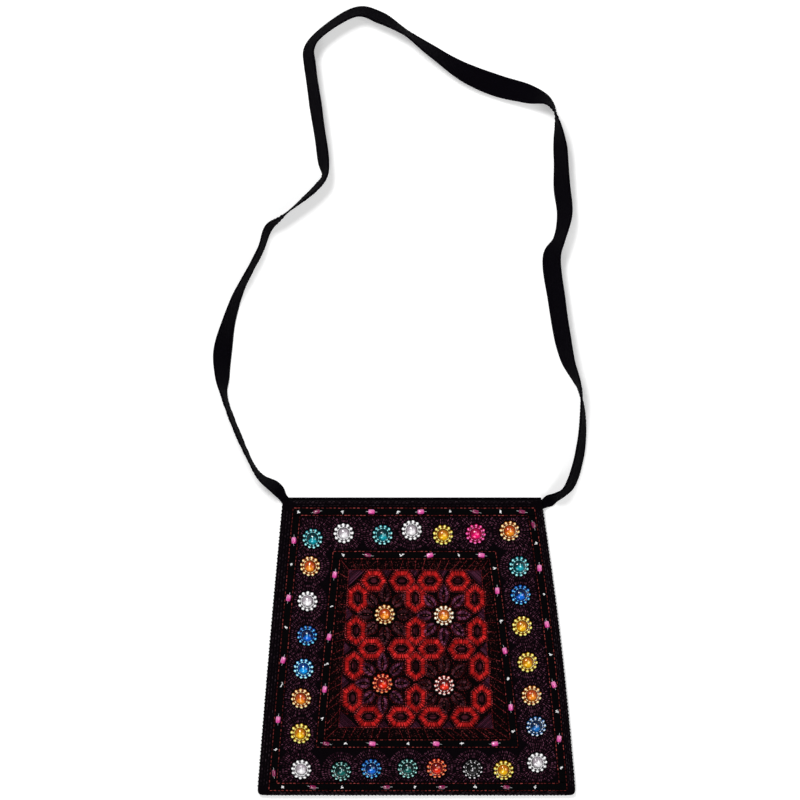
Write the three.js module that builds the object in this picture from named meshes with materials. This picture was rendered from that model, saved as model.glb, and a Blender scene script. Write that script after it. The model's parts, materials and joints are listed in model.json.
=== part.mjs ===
// A flat cloth shoulder bag with an embroidered front, moulded studs, beaded ribbons and a long flat strap.
// It lies on its back: +X to the right, +Y towards the mouth, +Z out of the embroidered front. Millimetres.
import * as THREE from 'three';

// Plan of the bag
const BAG = { topWidth: 235, bottomWidth: 290, height: 271, topShift: -4 };
const SIDE_BULGE = { left: 0.6, right: 2.6 };
const CORNER_RADIUS = 8;
const MOUTH_STEP = 2.5; // the front panel's mouth edge lies this much below the back panel's

// Cloth thicknesses and the loft between them
const GAP = 0.3;
const BACK_THICKNESS = 2;
const FRONT_THICKNESS = 2.7;
const LINING_THICKNESS = 0.6;
const LOFT = 8; // how far the front rises above the seam in the middle
const LOFT_RAMP = 45; // how far in from a seam it has risen

// Cells of the panels' grid, and how many of them the linings stay inside the panels
const PANEL_COLUMNS = 18;
const PANEL_ROWS = 15;
const BACK_ROWS = 5; // the flat back panel needs fewer, for its side edges alone
const LINING_INSET = { columns: 2, bottomRows: 1, topRows: 1 };

// Ribbon frames, as distances in from the bag's left, right, top and bottom edges
const RIBBON_THICKNESS = 0.6;
const CURVE_SLACK = 0.025; // share of the loft that flat-celled pieces stay clear of the curved front
const OUTER_RIBBON = { left: 10, right: 7.2, top: 9, bottom: 4.2, width: 7.4, segments: 20 };
const INNER_RIBBON = { left: 50, right: 48.4, top: 48.4, bottom: 44.1, width: 7.4, segments: 6 };
const PATCH_THICKNESS = 0.8;

// Moulded studs
const STUD = { radius: 9.25, lobeDepth: 0.8, lobes: 12, rim: 1.5, domeRadius: 5.3, height: 4.4 };
const STUD_SHOULDER = { radius: 0.7, height: 0.8 }; // shares of the dome's radius and height
const STUD_CLEARANCE = 0.45; // between a stud's flat underside and the curved front

// Beads and the thread they hang on
const PINK_BEAD = { radius: 2.1, length: 5.6 };
const CLEAR_BEAD = { radius: 1.3, length: 3.4 };
const BEAD_BARREL = 0.5; // share of a bead's length that has its full radius
const THREAD_RADIUS = 0.35;
const BEAD_SIDES = 5;

// Strap: its ends are folded narrow, and it spreads to its full width over a length from each end
const STRAP = { width: 21.5, thickness: 1.6, endWidth: 8, steps: 2 };
const STRAP_SPREAD = { from: 7, to: 23.8 };

const TOP_Y = BAG.height / 2;
const BOTTOM_Y = -BAG.height / 2;
const FRONT_TOP_Y = TOP_Y - MOUTH_STEP;
const SEAM_Z = BACK_THICKNESS + GAP;
const STRAP_CLEARANCE = 1.02; // between a strap end and the front panel over it
const STRAP_LIFT = { height: STRAP.thickness + STRAP_CLEARANCE, radius: 30 };

const COLOURS = {
  teal: 0x12a3a8, clear: 0xe6e6ea, gold: 0xe0b21e, magenta: 0xd8259c, amber: 0xe8892a, blue: 0x1f84cf,
  brightBlue: 0x2aa0ea, darkTeal: 0x0d5a5e, orangeRed: 0xe4521e, smoky: 0x4a4a52, paleAmber: 0xf0c070,
  red: 0xb83a30, silverBlue: 0x4f8fb8,
};

function cloth(colour, roughness = 0.95) {
  return new THREE.MeshStandardMaterial({ color: colour, roughness, metalness: 0 });
}

const MATERIAL = {
  blackCloth: cloth(0x131016),
  lining: cloth(0x1a161c),
  embroidery: cloth(0x7a2424),
  ribbon: cloth(0x0d0c10, 0.6),
  strap: cloth(0x100e13),
  beads: new THREE.MeshStandardMaterial({ color: 0xe070b8, roughness: 0.2, metalness: 0 }),
};

const lerp = THREE.MathUtils.lerp;

function heightShare(y) {
  return (y - BOTTOM_Y) / BAG.height;
}

function leftEdge(y) {
  const v = heightShare(y);
  const straight = lerp(-BAG.bottomWidth / 2, BAG.topShift - BAG.topWidth / 2, v);
  return straight - SIDE_BULGE.left * Math.sin(Math.PI * v);
}

function rightEdge(y) {
  const v = heightShare(y);
  const straight = lerp(BAG.bottomWidth / 2, BAG.topShift + BAG.topWidth / 2, v);
  return straight + SIDE_BULGE.right * Math.sin(Math.PI * v);
}

// Height of the front panel's underside: it rises from the seams and lies open at the mouth.
function rise(distance) {
  const s = THREE.MathUtils.clamp(distance / LOFT_RAMP, 0, 1);
  return 2 * s - s * s;
}

function strapLift(x, y) {
  let lift = 0;
  for (const cornerX of [leftEdge(FRONT_TOP_Y), rightEdge(FRONT_TOP_Y)]) {
    const d = Math.hypot(x - cornerX, y - FRONT_TOP_Y) / STRAP_LIFT.radius;
    if (d < 1) lift += STRAP_LIFT.height * (1 - d * d) ** 2;
  }
  return lift;
}

function frontUnderside(x, y) {
  const fromSides = rise(x - leftEdge(y)) * rise(rightEdge(y) - x);
  return SEAM_Z + LOFT * fromSides * rise(y - BOTTOM_Y) + strapLift(x, y);
}

function frontTop(x, y) {
  return frontUnderside(x, y) + FRONT_THICKNESS;
}

// Rounds the two bottom corners of a plan point.
function roundCorners(x, y) {
  const r = CORNER_RADIUS;
  const onLeft = x < 0;
  const edge = onLeft ? leftEdge(y) : rightEdge(y);
  const a = r - Math.abs(x - edge);
  const b = r - (y - BOTTOM_Y);
  if (a <= 0 || b <= 0) return [x, y];
  const k = Math.max(a, b) / Math.hypot(a, b);
  return [onLeft ? edge + r - a * k : edge - r + a * k, BOTTOM_Y + r - b * k];
}

// Plan point of a panel's grid: its outermost columns and lowest row are as wide as the rounded corners.
function panelPlan(topY, rows) {
  return (i, j) => {
    const cornerRow = CORNER_RADIUS / (topY - BOTTOM_Y);
    const v = j === 0 ? 0 : lerp(cornerRow, 1, (j - 1) / (rows - 1));
    const y = lerp(BOTTOM_Y, topY, v);
    const left = leftEdge(y);
    const right = rightEdge(y);
    if (i === 0) return roundCorners(left, y);
    if (i === PANEL_COLUMNS) return roundCorners(right, y);
    return roundCorners(lerp(left + CORNER_RADIUS, right - CORNER_RADIUS, (i - 1) / (PANEL_COLUMNS - 2)), y);
  };
}

function panelOutline(topY, rows) {
  const plan = panelPlan(topY, rows);
  const points = [];
  for (let i = 0; i < PANEL_COLUMNS; i++) points.push(plan(i, 0));
  for (let j = 0; j < rows; j++) points.push(plan(PANEL_COLUMNS, j));
  for (let i = PANEL_COLUMNS; i > 0; i--) points.push(plan(i, rows));
  for (let j = rows; j > 0; j--) points.push(plan(0, j));
  return new THREE.Shape(points.map(([x, y]) => new THREE.Vector2(x, y)));
}

// Plan points of a grid of even cells, from a plan given in shares across and up.
function evenGrid(plan, columns, rows) {
  return (i, j) => plan(i / columns, j / rows);
}

// A closed slab over a grid of plan points, between two heights that may vary over it.
function slab(columns, rows, plan, low, high) {
  const positions = [];
  const faces = [];
  const across = columns + 1;
  const layer = across * (rows + 1);
  for (const height of [low, high]) {
    for (let j = 0; j <= rows; j++) {
      for (let i = 0; i <= columns; i++) {
        const [x, y] = plan(i, j);
        positions.push(x, y, height(x, y));
      }
    }
  }
  const at = (i, j, top) => (top ? layer : 0) + j * across + i;
  const quad = (a, b, c, d) => faces.push(a, b, c, a, c, d);
  for (let j = 0; j < rows; j++) {
    for (let i = 0; i < columns; i++) {
      quad(at(i, j, true), at(i + 1, j, true), at(i + 1, j + 1, true), at(i, j + 1, true));
      quad(at(i, j), at(i, j + 1), at(i + 1, j + 1), at(i + 1, j));
    }
  }
  for (let i = 0; i < columns; i++) {
    quad(at(i, 0), at(i + 1, 0), at(i + 1, 0, true), at(i, 0, true));
    quad(at(i + 1, rows), at(i, rows), at(i, rows, true), at(i + 1, rows, true));
  }
  for (let j = 0; j < rows; j++) {
    quad(at(0, j + 1), at(0, j), at(0, j, true), at(0, j + 1, true));
    quad(at(columns, j), at(columns, j + 1), at(columns, j + 1, true), at(columns, j, true));
  }
  const geometry = new THREE.BufferGeometry();
  geometry.setAttribute('position', new THREE.Float32BufferAttribute(positions, 3));
  geometry.setIndex(faces);
  geometry.computeVertexNormals();
  return geometry;
}

// A closed tube with one ring of points for each station; every ring has the same number of points.
// Opposite faces are split along the same diagonal, so that a twisted band keeps its thickness.
function sweep(rings) {
  const sides = rings[0].length;
  const positions = [];
  const faces = [];
  for (const ring of rings) {
    for (const p of ring) positions.push(p.x, p.y, p.z);
  }
  for (let k = 0; k < rings.length - 1; k++) {
    for (let i = 0; i < sides; i++) {
      const j = (i + 1) % sides;
      const a = k * sides + i;
      const b = k * sides + j;
      if (2 * i < sides) faces.push(a, b, b + sides, a, b + sides, a + sides);
      else faces.push(a, b, a + sides, b, b + sides, a + sides);
    }
  }
  const last = (rings.length - 1) * sides;
  for (let i = 1; i < sides - 1; i++) {
    faces.push(0, i + 1, i);
    faces.push(last, last + i, last + i + 1);
  }
  const geometry = new THREE.BufferGeometry();
  geometry.setAttribute('position', new THREE.Float32BufferAttribute(positions, 3));
  geometry.setIndex(faces);
  geometry.computeVertexNormals();
  return geometry;
}

const bag = new THREE.Group();

function add(name, geometry, material) {
  const mesh = new THREE.Mesh(geometry, material);
  mesh.name = name;
  bag.add(mesh);
  return mesh;
}

// Panels

function addPanels() {
  const extrusion = { depth: BACK_THICKNESS, bevelEnabled: false };
  const back = new THREE.ExtrudeGeometry(panelOutline(TOP_Y, BACK_ROWS), extrusion);
  add('back_panel', back, MATERIAL.blackCloth);
  const frontPlan = panelPlan(FRONT_TOP_Y, PANEL_ROWS);
  const front = slab(PANEL_COLUMNS, PANEL_ROWS, frontPlan, frontUnderside, frontTop);
  add('front_panel', front, MATERIAL.blackCloth);
}

// Linings: each ends on the panel's own grid lines, so it lies flat against the panel.
function addLinings() {
  const frontPlan = panelPlan(FRONT_TOP_Y, PANEL_ROWS);
  const columns = PANEL_COLUMNS - 2 * LINING_INSET.columns;
  const rows = PANEL_ROWS - LINING_INSET.bottomRows - LINING_INSET.topRows;
  const plan = (i, j) => frontPlan(LINING_INSET.columns + i, LINING_INSET.bottomRows + j);
  const frontLiningTop = (x, y) => frontUnderside(x, y) - GAP;
  const frontLiningLow = (x, y) => frontLiningTop(x, y) - LINING_THICKNESS;
  add('lining_front', slab(columns, rows, plan, frontLiningLow, frontLiningTop), MATERIAL.lining);
  const corners = (i, j) => plan(i * columns, j * rows);
  add('lining_back', slab(1, 1, corners, () => SEAM_Z, () => SEAM_Z + LINING_THICKNESS), MATERIAL.lining);
}

// Ribbon frames: the top and bottom strips run past the ends of the side strips.

function ribbonStrips(frame) {
  const across = (y, u) => lerp(leftEdge(y) + frame.left, rightEdge(y) - frame.right, u);
  const topY = TOP_Y - frame.top;
  const bottomY = BOTTOM_Y + frame.bottom;
  const sideTop = topY - frame.width - GAP;
  const sideBottom = bottomY + frame.width + GAP;
  const level = (low) => (u, v) => {
    const y = lerp(low, low + frame.width, v);
    return [across(y, u), y];
  };
  const side = (edge, start) => (u, v) => {
    const y = lerp(sideBottom, sideTop, v);
    return [edge(y) + start + u * frame.width, y];
  };
  return {
    top: { plan: level(topY - frame.width), columns: frame.segments, rows: 1 },
    bottom: { plan: level(bottomY), columns: frame.segments, rows: 1 },
    left: { plan: side(leftEdge, frame.left), columns: 1, rows: frame.segments },
    right: { plan: side(rightEdge, -frame.right - frame.width), columns: 1, rows: frame.segments },
  };
}

const FRAMES = { outer: ribbonStrips(OUTER_RIBBON), inner: ribbonStrips(INNER_RIBBON) };
const RIBBON_LOW = GAP + CURVE_SLACK * LOFT;
const RIBBON_TOP = RIBBON_LOW + RIBBON_THICKNESS;

function addRibbons() {
  const low = (x, y) => frontTop(x, y) + RIBBON_LOW;
  const high = (x, y) => frontTop(x, y) + RIBBON_TOP;
  for (const [frameName, strips] of Object.entries(FRAMES)) {
    for (const [side, strip] of Object.entries(strips)) {
      const { columns, rows } = strip;
      const geometry = slab(columns, rows, evenGrid(strip.plan, columns, rows), low, high);
      add(`${frameName}_ribbon_${side}`, geometry, MATERIAL.ribbon);
    }
  }
}

// The embroidered patch fills the inner ribbon frame.
const PATCH_TOP = RIBBON_LOW + PATCH_THICKNESS;

function addCentrePatch() {
  const { left, right, top, bottom, width } = INNER_RIBBON;
  const inset = width + GAP;
  const plan = (u, v) => {
    const y = lerp(BOTTOM_Y + bottom + inset, TOP_Y - top - inset, v);
    return [lerp(leftEdge(y) + left + inset, rightEdge(y) - right - inset, u), y];
  };
  const low = (x, y) => frontTop(x, y) + RIBBON_LOW;
  const high = (x, y) => frontTop(x, y) + PATCH_TOP;
  const rows = INNER_RIBBON.segments;
  add('centre_patch', slab(1, rows, evenGrid(plan, 1, rows), low, high), MATERIAL.embroidery);
}

// Studs: each is one moulding, a lobed rim with a dome in the middle.

function studGeometry() {
  const { radius, lobeDepth, lobes, rim, domeRadius, height } = STUD;
  const circle = (count, z, radiusAt) => Array.from({ length: count }, (_, k) => {
    const angle = (2 * Math.PI * k) / count;
    return [radiusAt(k) * Math.cos(angle), radiusAt(k) * Math.sin(angle), z];
  });
  const lobed = (k) => (k % 2 === 0 ? radius : radius - lobeDepth);
  const rings = [
    circle(2 * lobes, 0, lobed),
    circle(2 * lobes, rim, lobed),
    circle(lobes, rim, () => domeRadius),
    circle(lobes, lerp(rim, height, STUD_SHOULDER.height), () => domeRadius * STUD_SHOULDER.radius),
  ];
  const starts = rings.map((_, k) => rings.slice(0, k).reduce((sum, ring) => sum + ring.length, 0));
  const [bottom, edge, foot, shoulder] = starts;
  const under = starts[3] + lobes;
  const crown = under + 1;
  const faces = [];
  for (let k = 0; k < 2 * lobes; k++) {
    const next = (k + 1) % (2 * lobes);
    faces.push(under, bottom + next, bottom + k);
    faces.push(bottom + k, bottom + next, edge + next, bottom + k, edge + next, edge + k);
  }
  for (let k = 0; k < lobes; k++) {
    const next = (k + 1) % lobes;
    const valley = edge + 2 * k + 1;
    faces.push(edge + 2 * k, valley, foot + k, foot + k, valley, foot + next);
    faces.push(valley, edge + 2 * next, foot + next);
    faces.push(foot + k, foot + next, shoulder + next, foot + k, shoulder + next, shoulder + k);
    faces.push(shoulder + k, shoulder + next, crown);
  }
  const positions = [...rings.flat(2), 0, 0, 0, 0, 0, height];
  const geometry = new THREE.BufferGeometry();
  geometry.setAttribute('position', new THREE.Float32BufferAttribute(positions, 3));
  geometry.setIndex(faces);
  geometry.computeVertexNormals();
  return geometry;
}

// Places in the band between the ribbon frames: share along the side, then how far out from its middle line.
const BAND_STUDS = {
  top: [
    [-0.02, -4.7, 'teal'], [0.139, 0.2, 'clear'], [0.338, -1.2, 'teal'], [0.487, 3, 'clear'],
    [0.647, -1.2, 'gold'], [0.814, -0.4, 'magenta'], [0.987, 2.3, 'amber'],
  ],
  left: [
    [0.141, 3, 'amber'], [0.292, 2.4, 'clear'], [0.44, 0, 'blue'], [0.583, 0.6, 'brightBlue'],
    [0.711, 0.7, 'amber'], [0.862, -1.4, 'gold'],
  ],
  right: [
    [0.142, 2, 'teal'], [0.264, 0, 'blue'], [0.399, -2.2, 'gold'], [0.555, -1.1, 'gold'],
    [0.698, -0.7, 'amber'], [0.831, 0.7, 'silverBlue'],
  ],
  bottom: [
    [0.02, 3.5, 'clear'], [0.184, 5, 'darkTeal'], [0.309, 2.7, 'blue'], [0.459, 2.4, 'darkTeal'],
    [0.579, 2.3, 'orangeRed'], [0.727, 3, 'smoky'], [0.855, 4.2, 'gold'], [0.993, -2.8, 'clear'],
  ],
};

// Places on the patch: shares across and up.
const PATCH_STUDS = [
  [0.308, 0.694, 'amber'], [0.674, 0.689, 'paleAmber'], [0.304, 0.312, 'orangeRed'], [0.656, 0.302, 'red'],
];

// Middle lines of the band between the ribbons.
function bandMiddle(side) {
  const half = (key) => (OUTER_RIBBON[key] + OUTER_RIBBON.width + INNER_RIBBON[key]) / 2;
  const topY = TOP_Y - half('top');
  const bottomY = BOTTOM_Y + half('bottom');
  const left = (y) => leftEdge(y) + half('left');
  const right = (y) => rightEdge(y) - half('right');
  const rowX = (y) => (share) => lerp(left(y), right(y), share);
  return {
    top: (share, out) => [rowX(topY)(share), topY + out],
    bottom: (share, out) => [rowX(bottomY)(share), bottomY - out],
    left: (share, out) => [left(lerp(topY, bottomY, share)) - out, lerp(topY, bottomY, share)],
    right: (share, out) => [right(lerp(topY, bottomY, share)) + out, lerp(topY, bottomY, share)],
  }[side];
}

function surfaceNormal(x, y) {
  const step = 1;
  const slopeX = (frontTop(x + step, y) - frontTop(x - step, y)) / (2 * step);
  const slopeY = (frontTop(x, y + step) - frontTop(x, y - step)) / (2 * step);
  return new THREE.Vector3(-slopeX, -slopeY, 1).normalize();
}

function addStud(name, colour, x, y, lift) {
  const finish = { color: COLOURS[colour], roughness: 0.15, metalness: 0.3 };
  const material = new THREE.MeshStandardMaterial(finish);
  const mesh = add(name, studGeometry(), material);
  const normal = surfaceNormal(x, y);
  mesh.quaternion.setFromUnitVectors(new THREE.Vector3(0, 0, 1), normal);
  mesh.position.set(x, y, frontTop(x, y)).addScaledVector(normal, lift);
}

function addStuds() {
  for (const [side, studs] of Object.entries(BAND_STUDS)) {
    const place = bandMiddle(side);
    studs.forEach(([share, out, colour], k) => {
      const [x, y] = place(share, out);
      addStud(`stud_${side}_${k + 1}`, colour, x, y, STUD_CLEARANCE);
    });
  }
  const { left, right, top, bottom, width } = INNER_RIBBON;
  PATCH_STUDS.forEach(([u, v, colour], k) => {
    const y = lerp(BOTTOM_Y + bottom + width, TOP_Y - top - width, v);
    const x = lerp(leftEdge(y) + left + width, rightEdge(y) - right - width, u);
    addStud(`stud_centre_${k + 1}`, colour, x, y, PATCH_TOP + GAP);
  });
}

// Bead strings: beads on one thread along the middle of each ribbon strip.
// Shares along the strip, from its left or top end: P for pink beads and C for clear ones.
const BEADS = {
  outer: {
    top: { C: [0.025, 0.208, 0.433, 0.65, 0.857], P: [0.1, 0.325, 0.528, 0.753, 0.944] },
    right: { P: [0.033, 0.195, 0.406, 0.632, 0.835], C: [0.101, 0.294, 0.52, 0.735, 0.944] },
    bottom: { C: [0.046, 0.247, 0.489, 0.692, 0.891], P: [0.148, 0.395, 0.58, 0.796] },
    left: { P: [0.091, 0.307, 0.54, 0.763, 0.964], C: [0.181, 0.418, 0.636, 0.876] },
  },
  inner: {
    top: { C: [0.066, 0.424, 0.771], P: [0.216, 0.594, 0.908] },
    right: { C: [0.048, 0.345, 0.666, 0.957], P: [0.173, 0.507, 0.822] },
    bottom: { P: [0.05, 0.278, 0.594, 0.884], C: [0.141, 0.452, 0.723] },
    left: { P: [0.084, 0.431, 0.722], C: [0.262, 0.583, 0.885] },
  },
};

// Middle of a strip: the share runs from the left end, or down from the top end.
function stripMiddle(strip, share) {
  return strip.columns > 1 ? strip.plan(share, 0.5) : strip.plan(0.5, 1 - share);
}

function ringAt(centre, tangent, radius) {
  const sideways = new THREE.Vector3(0, 0, 1).cross(tangent).normalize();
  const up = tangent.clone().cross(sideways).normalize();
  return Array.from({ length: BEAD_SIDES }, (_, k) => {
    const angle = (2 * Math.PI * k) / BEAD_SIDES;
    return centre.clone()
      .addScaledVector(sideways, radius * Math.cos(angle))
      .addScaledVector(up, radius * Math.sin(angle));
  });
}

function beadString(strip, beads) {
  const [startX, startY] = stripMiddle(strip, 0);
  const [endX, endY] = stripMiddle(strip, 1);
  const length = Math.hypot(endX - startX, endY - startY);
  const all = [
    ...beads.P.map((share) => ({ share, size: PINK_BEAD })),
    ...beads.C.map((share) => ({ share, size: CLEAR_BEAD })),
  ].sort((a, b) => a.share - b.share);
  const stations = [];
  for (const { share, size } of all) {
    const at = (mm) => share + mm / length;
    const half = size.length / 2;
    const barrel = half * BEAD_BARREL;
    stations.push([at(-half), size.radius, THREAD_RADIUS]);
    stations.push([at(-barrel), size.radius, size.radius]);
    stations.push([at(barrel), size.radius, size.radius]);
    stations.push([at(half), size.radius, THREAD_RADIUS]);
  }
  const tangent = new THREE.Vector3(endX - startX, endY - startY, 0).normalize();
  return sweep(stations.map(([share, height, radius]) => {
    const [x, y] = stripMiddle(strip, share);
    const z = frontTop(x, y) + RIBBON_TOP + GAP + height;
    return ringAt(new THREE.Vector3(x, y, z), tangent, radius);
  }));
}

function addBeadStrings() {
  for (const [frameName, strips] of Object.entries(FRAMES)) {
    for (const [side, beads] of Object.entries(BEADS[frameName])) {
      add(`${frameName}_beads_${side}`, beadString(strips[side], beads), MATERIAL.beads);
    }
  }
}

// The strap lies in a loose loop above the mouth. Each point: x and y from the middle of the mouth's edge,
// and its roll in degrees.
// A roll of 0 lies flat, 90 stands on edge, and 180 lies flat with the other face up.
const STRAP_ROUTE = [
  [-113, -5.9, 0], [-117.5, 0.1, 4], [-123.9, 8.7, 60], [-136.6, 17.8, 77], [-144.8, 28.8, 83],
  [-170.3, 90.6, 82], [-172.5, 108.8, 55], [-172.1, 134.3, 40], [-160.3, 179.8, 72], [-137.5, 226.2, 81],
  [-130.2, 245.3, 73], [-119.3, 254.4, 86], [-86.5, 282.6, 108], [-79.3, 292.7, 102], [-80.6, 307.2, 118],
  [-92.9, 393.7, 120], [-93.8, 407.3, 116], [-86.5, 419.1, 108], [-49.2, 441.9, 120], [-28.3, 436, 123],
  [-6.5, 423.2, 106], [16.3, 407.3, 118], [47.2, 387.3, 144], [77.3, 375, 163], [105.5, 367.3, 150],
  [122.8, 360.9, 112], [130, 350, 93], [134.6, 319, 57], [136.4, 281.7, 49], [138.7, 257.2, 51],
  [133.7, 234.4, 66], [127.3, 219.9, 43], [131.5, 179.8, 43], [141, 127, 54], [152.8, 97, 88],
  [154.2, 52.4, 115], [144.6, 13.3, 114], [138, 4.7, 106], [129, -0.6, 112], [120.6, -5.3, 176],
  [112.5, -9.9, 180],
];

function strapRings() {
  const points = STRAP_ROUTE.map(([x, y]) => new THREE.Vector3(BAG.topShift + x, TOP_Y + y, 0));
  const curve = new THREE.CatmullRomCurve3(points, false, 'centripetal');
  const count = (points.length - 1) * STRAP.steps;
  const stations = Array.from({ length: count + 1 }, (_, k) => {
    const t = k / count;
    const index = Math.min(Math.floor(k / STRAP.steps), points.length - 2);
    const roll = lerp(STRAP_ROUTE[index][2], STRAP_ROUTE[index + 1][2], k / STRAP.steps - index);
    return { point: curve.getPoint(t), tangent: curve.getTangent(t), roll: THREE.MathUtils.degToRad(roll) };
  });
  const travelled = [0];
  for (let k = 1; k <= count; k++) {
    travelled.push(travelled[k - 1] + stations[k].point.distanceTo(stations[k - 1].point));
  }
  const insideZ = SEAM_Z + STRAP.thickness / 2;
  return stations.map(({ point, tangent, roll }, k) => {
    const fromEnd = Math.min(travelled[k], travelled[count] - travelled[k]);
    const out = THREE.MathUtils.smoothstep(fromEnd, STRAP_SPREAD.from, STRAP_SPREAD.to);
    const halfWidth = lerp(STRAP.endWidth, STRAP.width, out) / 2;
    const halfThickness = STRAP.thickness / 2;
    const resting = halfWidth * Math.abs(Math.sin(roll)) + halfThickness * Math.abs(Math.cos(roll));
    const z = Math.max(resting, lerp(insideZ, resting, out));
    const left = new THREE.Vector3(-tangent.y, tangent.x, 0).normalize();
    const up = new THREE.Vector3(0, 0, 1);
    const wide = left.clone().multiplyScalar(Math.cos(roll)).addScaledVector(up, Math.sin(roll));
    const thick = left.clone().multiplyScalar(-Math.sin(roll)).addScaledVector(up, Math.cos(roll));
    return [[1, 1], [1, -1], [-1, -1], [-1, 1]].map(([w, h]) =>
      new THREE.Vector3(point.x, point.y, z)
        .addScaledVector(wide, w * halfWidth)
        .addScaledVector(thick, h * halfThickness));
  });
}

addPanels();
addLinings();
addRibbons();
addCentrePatch();
addStuds();
addBeadStrings();
add('strap', sweep(strapRings().reverse()), MATERIAL.strap);

export default bag;
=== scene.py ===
import json
import math

import bpy
import numpy as np
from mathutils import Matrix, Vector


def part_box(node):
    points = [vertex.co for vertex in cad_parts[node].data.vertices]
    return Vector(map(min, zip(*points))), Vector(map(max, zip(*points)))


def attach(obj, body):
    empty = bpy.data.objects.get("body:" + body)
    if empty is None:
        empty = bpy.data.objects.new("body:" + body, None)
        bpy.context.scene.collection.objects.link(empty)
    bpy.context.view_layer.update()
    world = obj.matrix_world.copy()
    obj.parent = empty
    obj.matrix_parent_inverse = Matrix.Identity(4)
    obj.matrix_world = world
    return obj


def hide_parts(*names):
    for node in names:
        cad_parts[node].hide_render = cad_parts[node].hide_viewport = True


bl_info = {
    "name": "Embroidered shoulder bag",
    "version": (1, 0, 0),
    "blender": (4, 5, 0),
    "location": "View3D > Sidebar > Bag",
    "description": "Makes a flat cloth shoulder bag with embroidery, studs, beaded ribbons and a strap",
    "category": "Add Mesh",
}

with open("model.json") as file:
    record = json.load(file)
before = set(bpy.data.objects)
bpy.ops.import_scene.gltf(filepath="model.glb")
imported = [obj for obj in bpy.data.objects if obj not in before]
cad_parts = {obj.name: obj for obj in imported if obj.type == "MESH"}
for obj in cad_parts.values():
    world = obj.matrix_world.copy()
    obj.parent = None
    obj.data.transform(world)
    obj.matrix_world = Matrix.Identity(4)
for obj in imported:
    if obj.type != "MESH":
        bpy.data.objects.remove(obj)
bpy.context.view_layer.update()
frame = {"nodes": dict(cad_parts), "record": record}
BACK_LOW, BACK_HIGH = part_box("back_panel")
SLOT_OF = {part["node"]: part["material_slot"] for part in frame["record"]["subparts"]}

BODY = "root"
MM = 0.001
TURN = 2 * math.pi
SIDES = ("top", "right", "bottom", "left")

# Camera: the photograph's frame is this wide, and its middle lies here on the floor; the lens and the sensor
# are in millimetres, and the reach is in metres
VIEW_WIDTH = 728 * MM
VIEW_MIDDLE = (-15 * MM, 224.3 * MM, 6 * MM)
CAMERA_LENS = 200
SENSOR_WIDTH = 36
CAMERA_REACH = 100

# How far in from the bag's edges each ribbon frame lies
RIBBON_INSETS = {
    "outer": {"left": 10 * MM, "right": 7.2 * MM, "top": 9 * MM, "bottom": 4.2 * MM},
    "inner": {"left": 50 * MM, "right": 48.4 * MM, "top": 48.4 * MM, "bottom": 44.1 * MM},
}

# How far a strap's end lifts the front at the mouth's corners, and how wide the lifted place is
STRAP_LIFT = 2.62 * MM
STRAP_LIFT_RADIUS = 30 * MM

# The front cloth's small swells and its longer waves: how far over the cloth each takes to turn by one
# radian, how much it bends, and its height in millimetres; and how far the cloth stands off its solid
SWELL_LENGTHS = (3.1e-3, 7.3e-3, 2.7e-3, 6.1e-3)
SWELL_BENDS = (1.7, 1.3)
WAVE_LENGTHS = (11e-3, 17e-3, 13e-3, 23e-3)
SWELL_HEIGHT = 0.06
WAVE_HEIGHT = 0.1
CLOTH_STAND_OFF = 0.26

# The strap's route: x and y from the middle of the mouth's edge in millimetres, and its roll in degrees.
# A roll of 0 lies flat, 90 stands on edge, and 180 lies flat with the other face up.
STRAP_ROUTE = [
    (-113, -5.9, 0), (-117.5, 0.1, 4), (-123.9, 8.7, 60), (-136.6, 17.8, 77), (-144.8, 28.8, 83),
    (-170.3, 90.6, 82), (-172.5, 108.8, 55), (-172.1, 134.3, 40), (-160.3, 179.8, 72), (-137.5, 226.2, 81),
    (-130.2, 245.3, 73), (-119.3, 254.4, 86), (-86.5, 282.6, 108), (-79.3, 292.7, 102), (-80.6, 307.2, 118),
    (-92.9, 393.7, 120), (-93.8, 407.3, 116), (-86.5, 419.1, 108), (-49.2, 441.9, 120), (-28.3, 436, 123),
    (-6.5, 423.2, 106), (16.3, 407.3, 118), (47.2, 387.3, 144), (77.3, 375, 163), (105.5, 367.3, 150),
    (122.8, 360.9, 112), (130, 350, 93), (134.6, 319, 57), (136.4, 281.7, 49), (138.7, 257.2, 51),
    (133.7, 234.4, 66), (127.3, 219.9, 43), (131.5, 179.8, 43), (141, 127, 54), (152.8, 97, 88),
    (154.2, 52.4, 115), (144.6, 13.3, 114), (138, 4.7, 106), (129, -0.6, 112), (120.6, -5.3, 176),
    (112.5, -9.9, 180),
]

# Beads that are flat and dark, by their place along the string from its left or top end
DULL_BEADS = {
    "outer_beads_top": (0, 3, 4), "outer_beads_right": (0,), "outer_beads_bottom": (0, 1, 2, 3),
    "outer_beads_left": (4,), "inner_beads_top": (0,), "inner_beads_bottom": (0,),
}


def linear(red, green, blue):
    """A display colour, 0 to 255, as the linear colour that a shader takes."""
    shares = [c / 255 for c in (red, green, blue)]
    return tuple(s / 12.92 if s <= 0.04045 else ((s + 0.055) / 1.055) ** 2.4 for s in shares)


def length(name, description, millimetres):
    """A size that a user would change."""
    return bpy.props.FloatProperty(
        name=name, description=description, default=millimetres * MM, unit="LENGTH", precision=4
    )


def colour(name, description, *display):
    """A colour that a user would change, from its display colour."""
    return bpy.props.FloatVectorProperty(
        name=name, description=description, default=linear(*display), size=3, subtype="COLOR", min=0, max=1
    )


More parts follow.
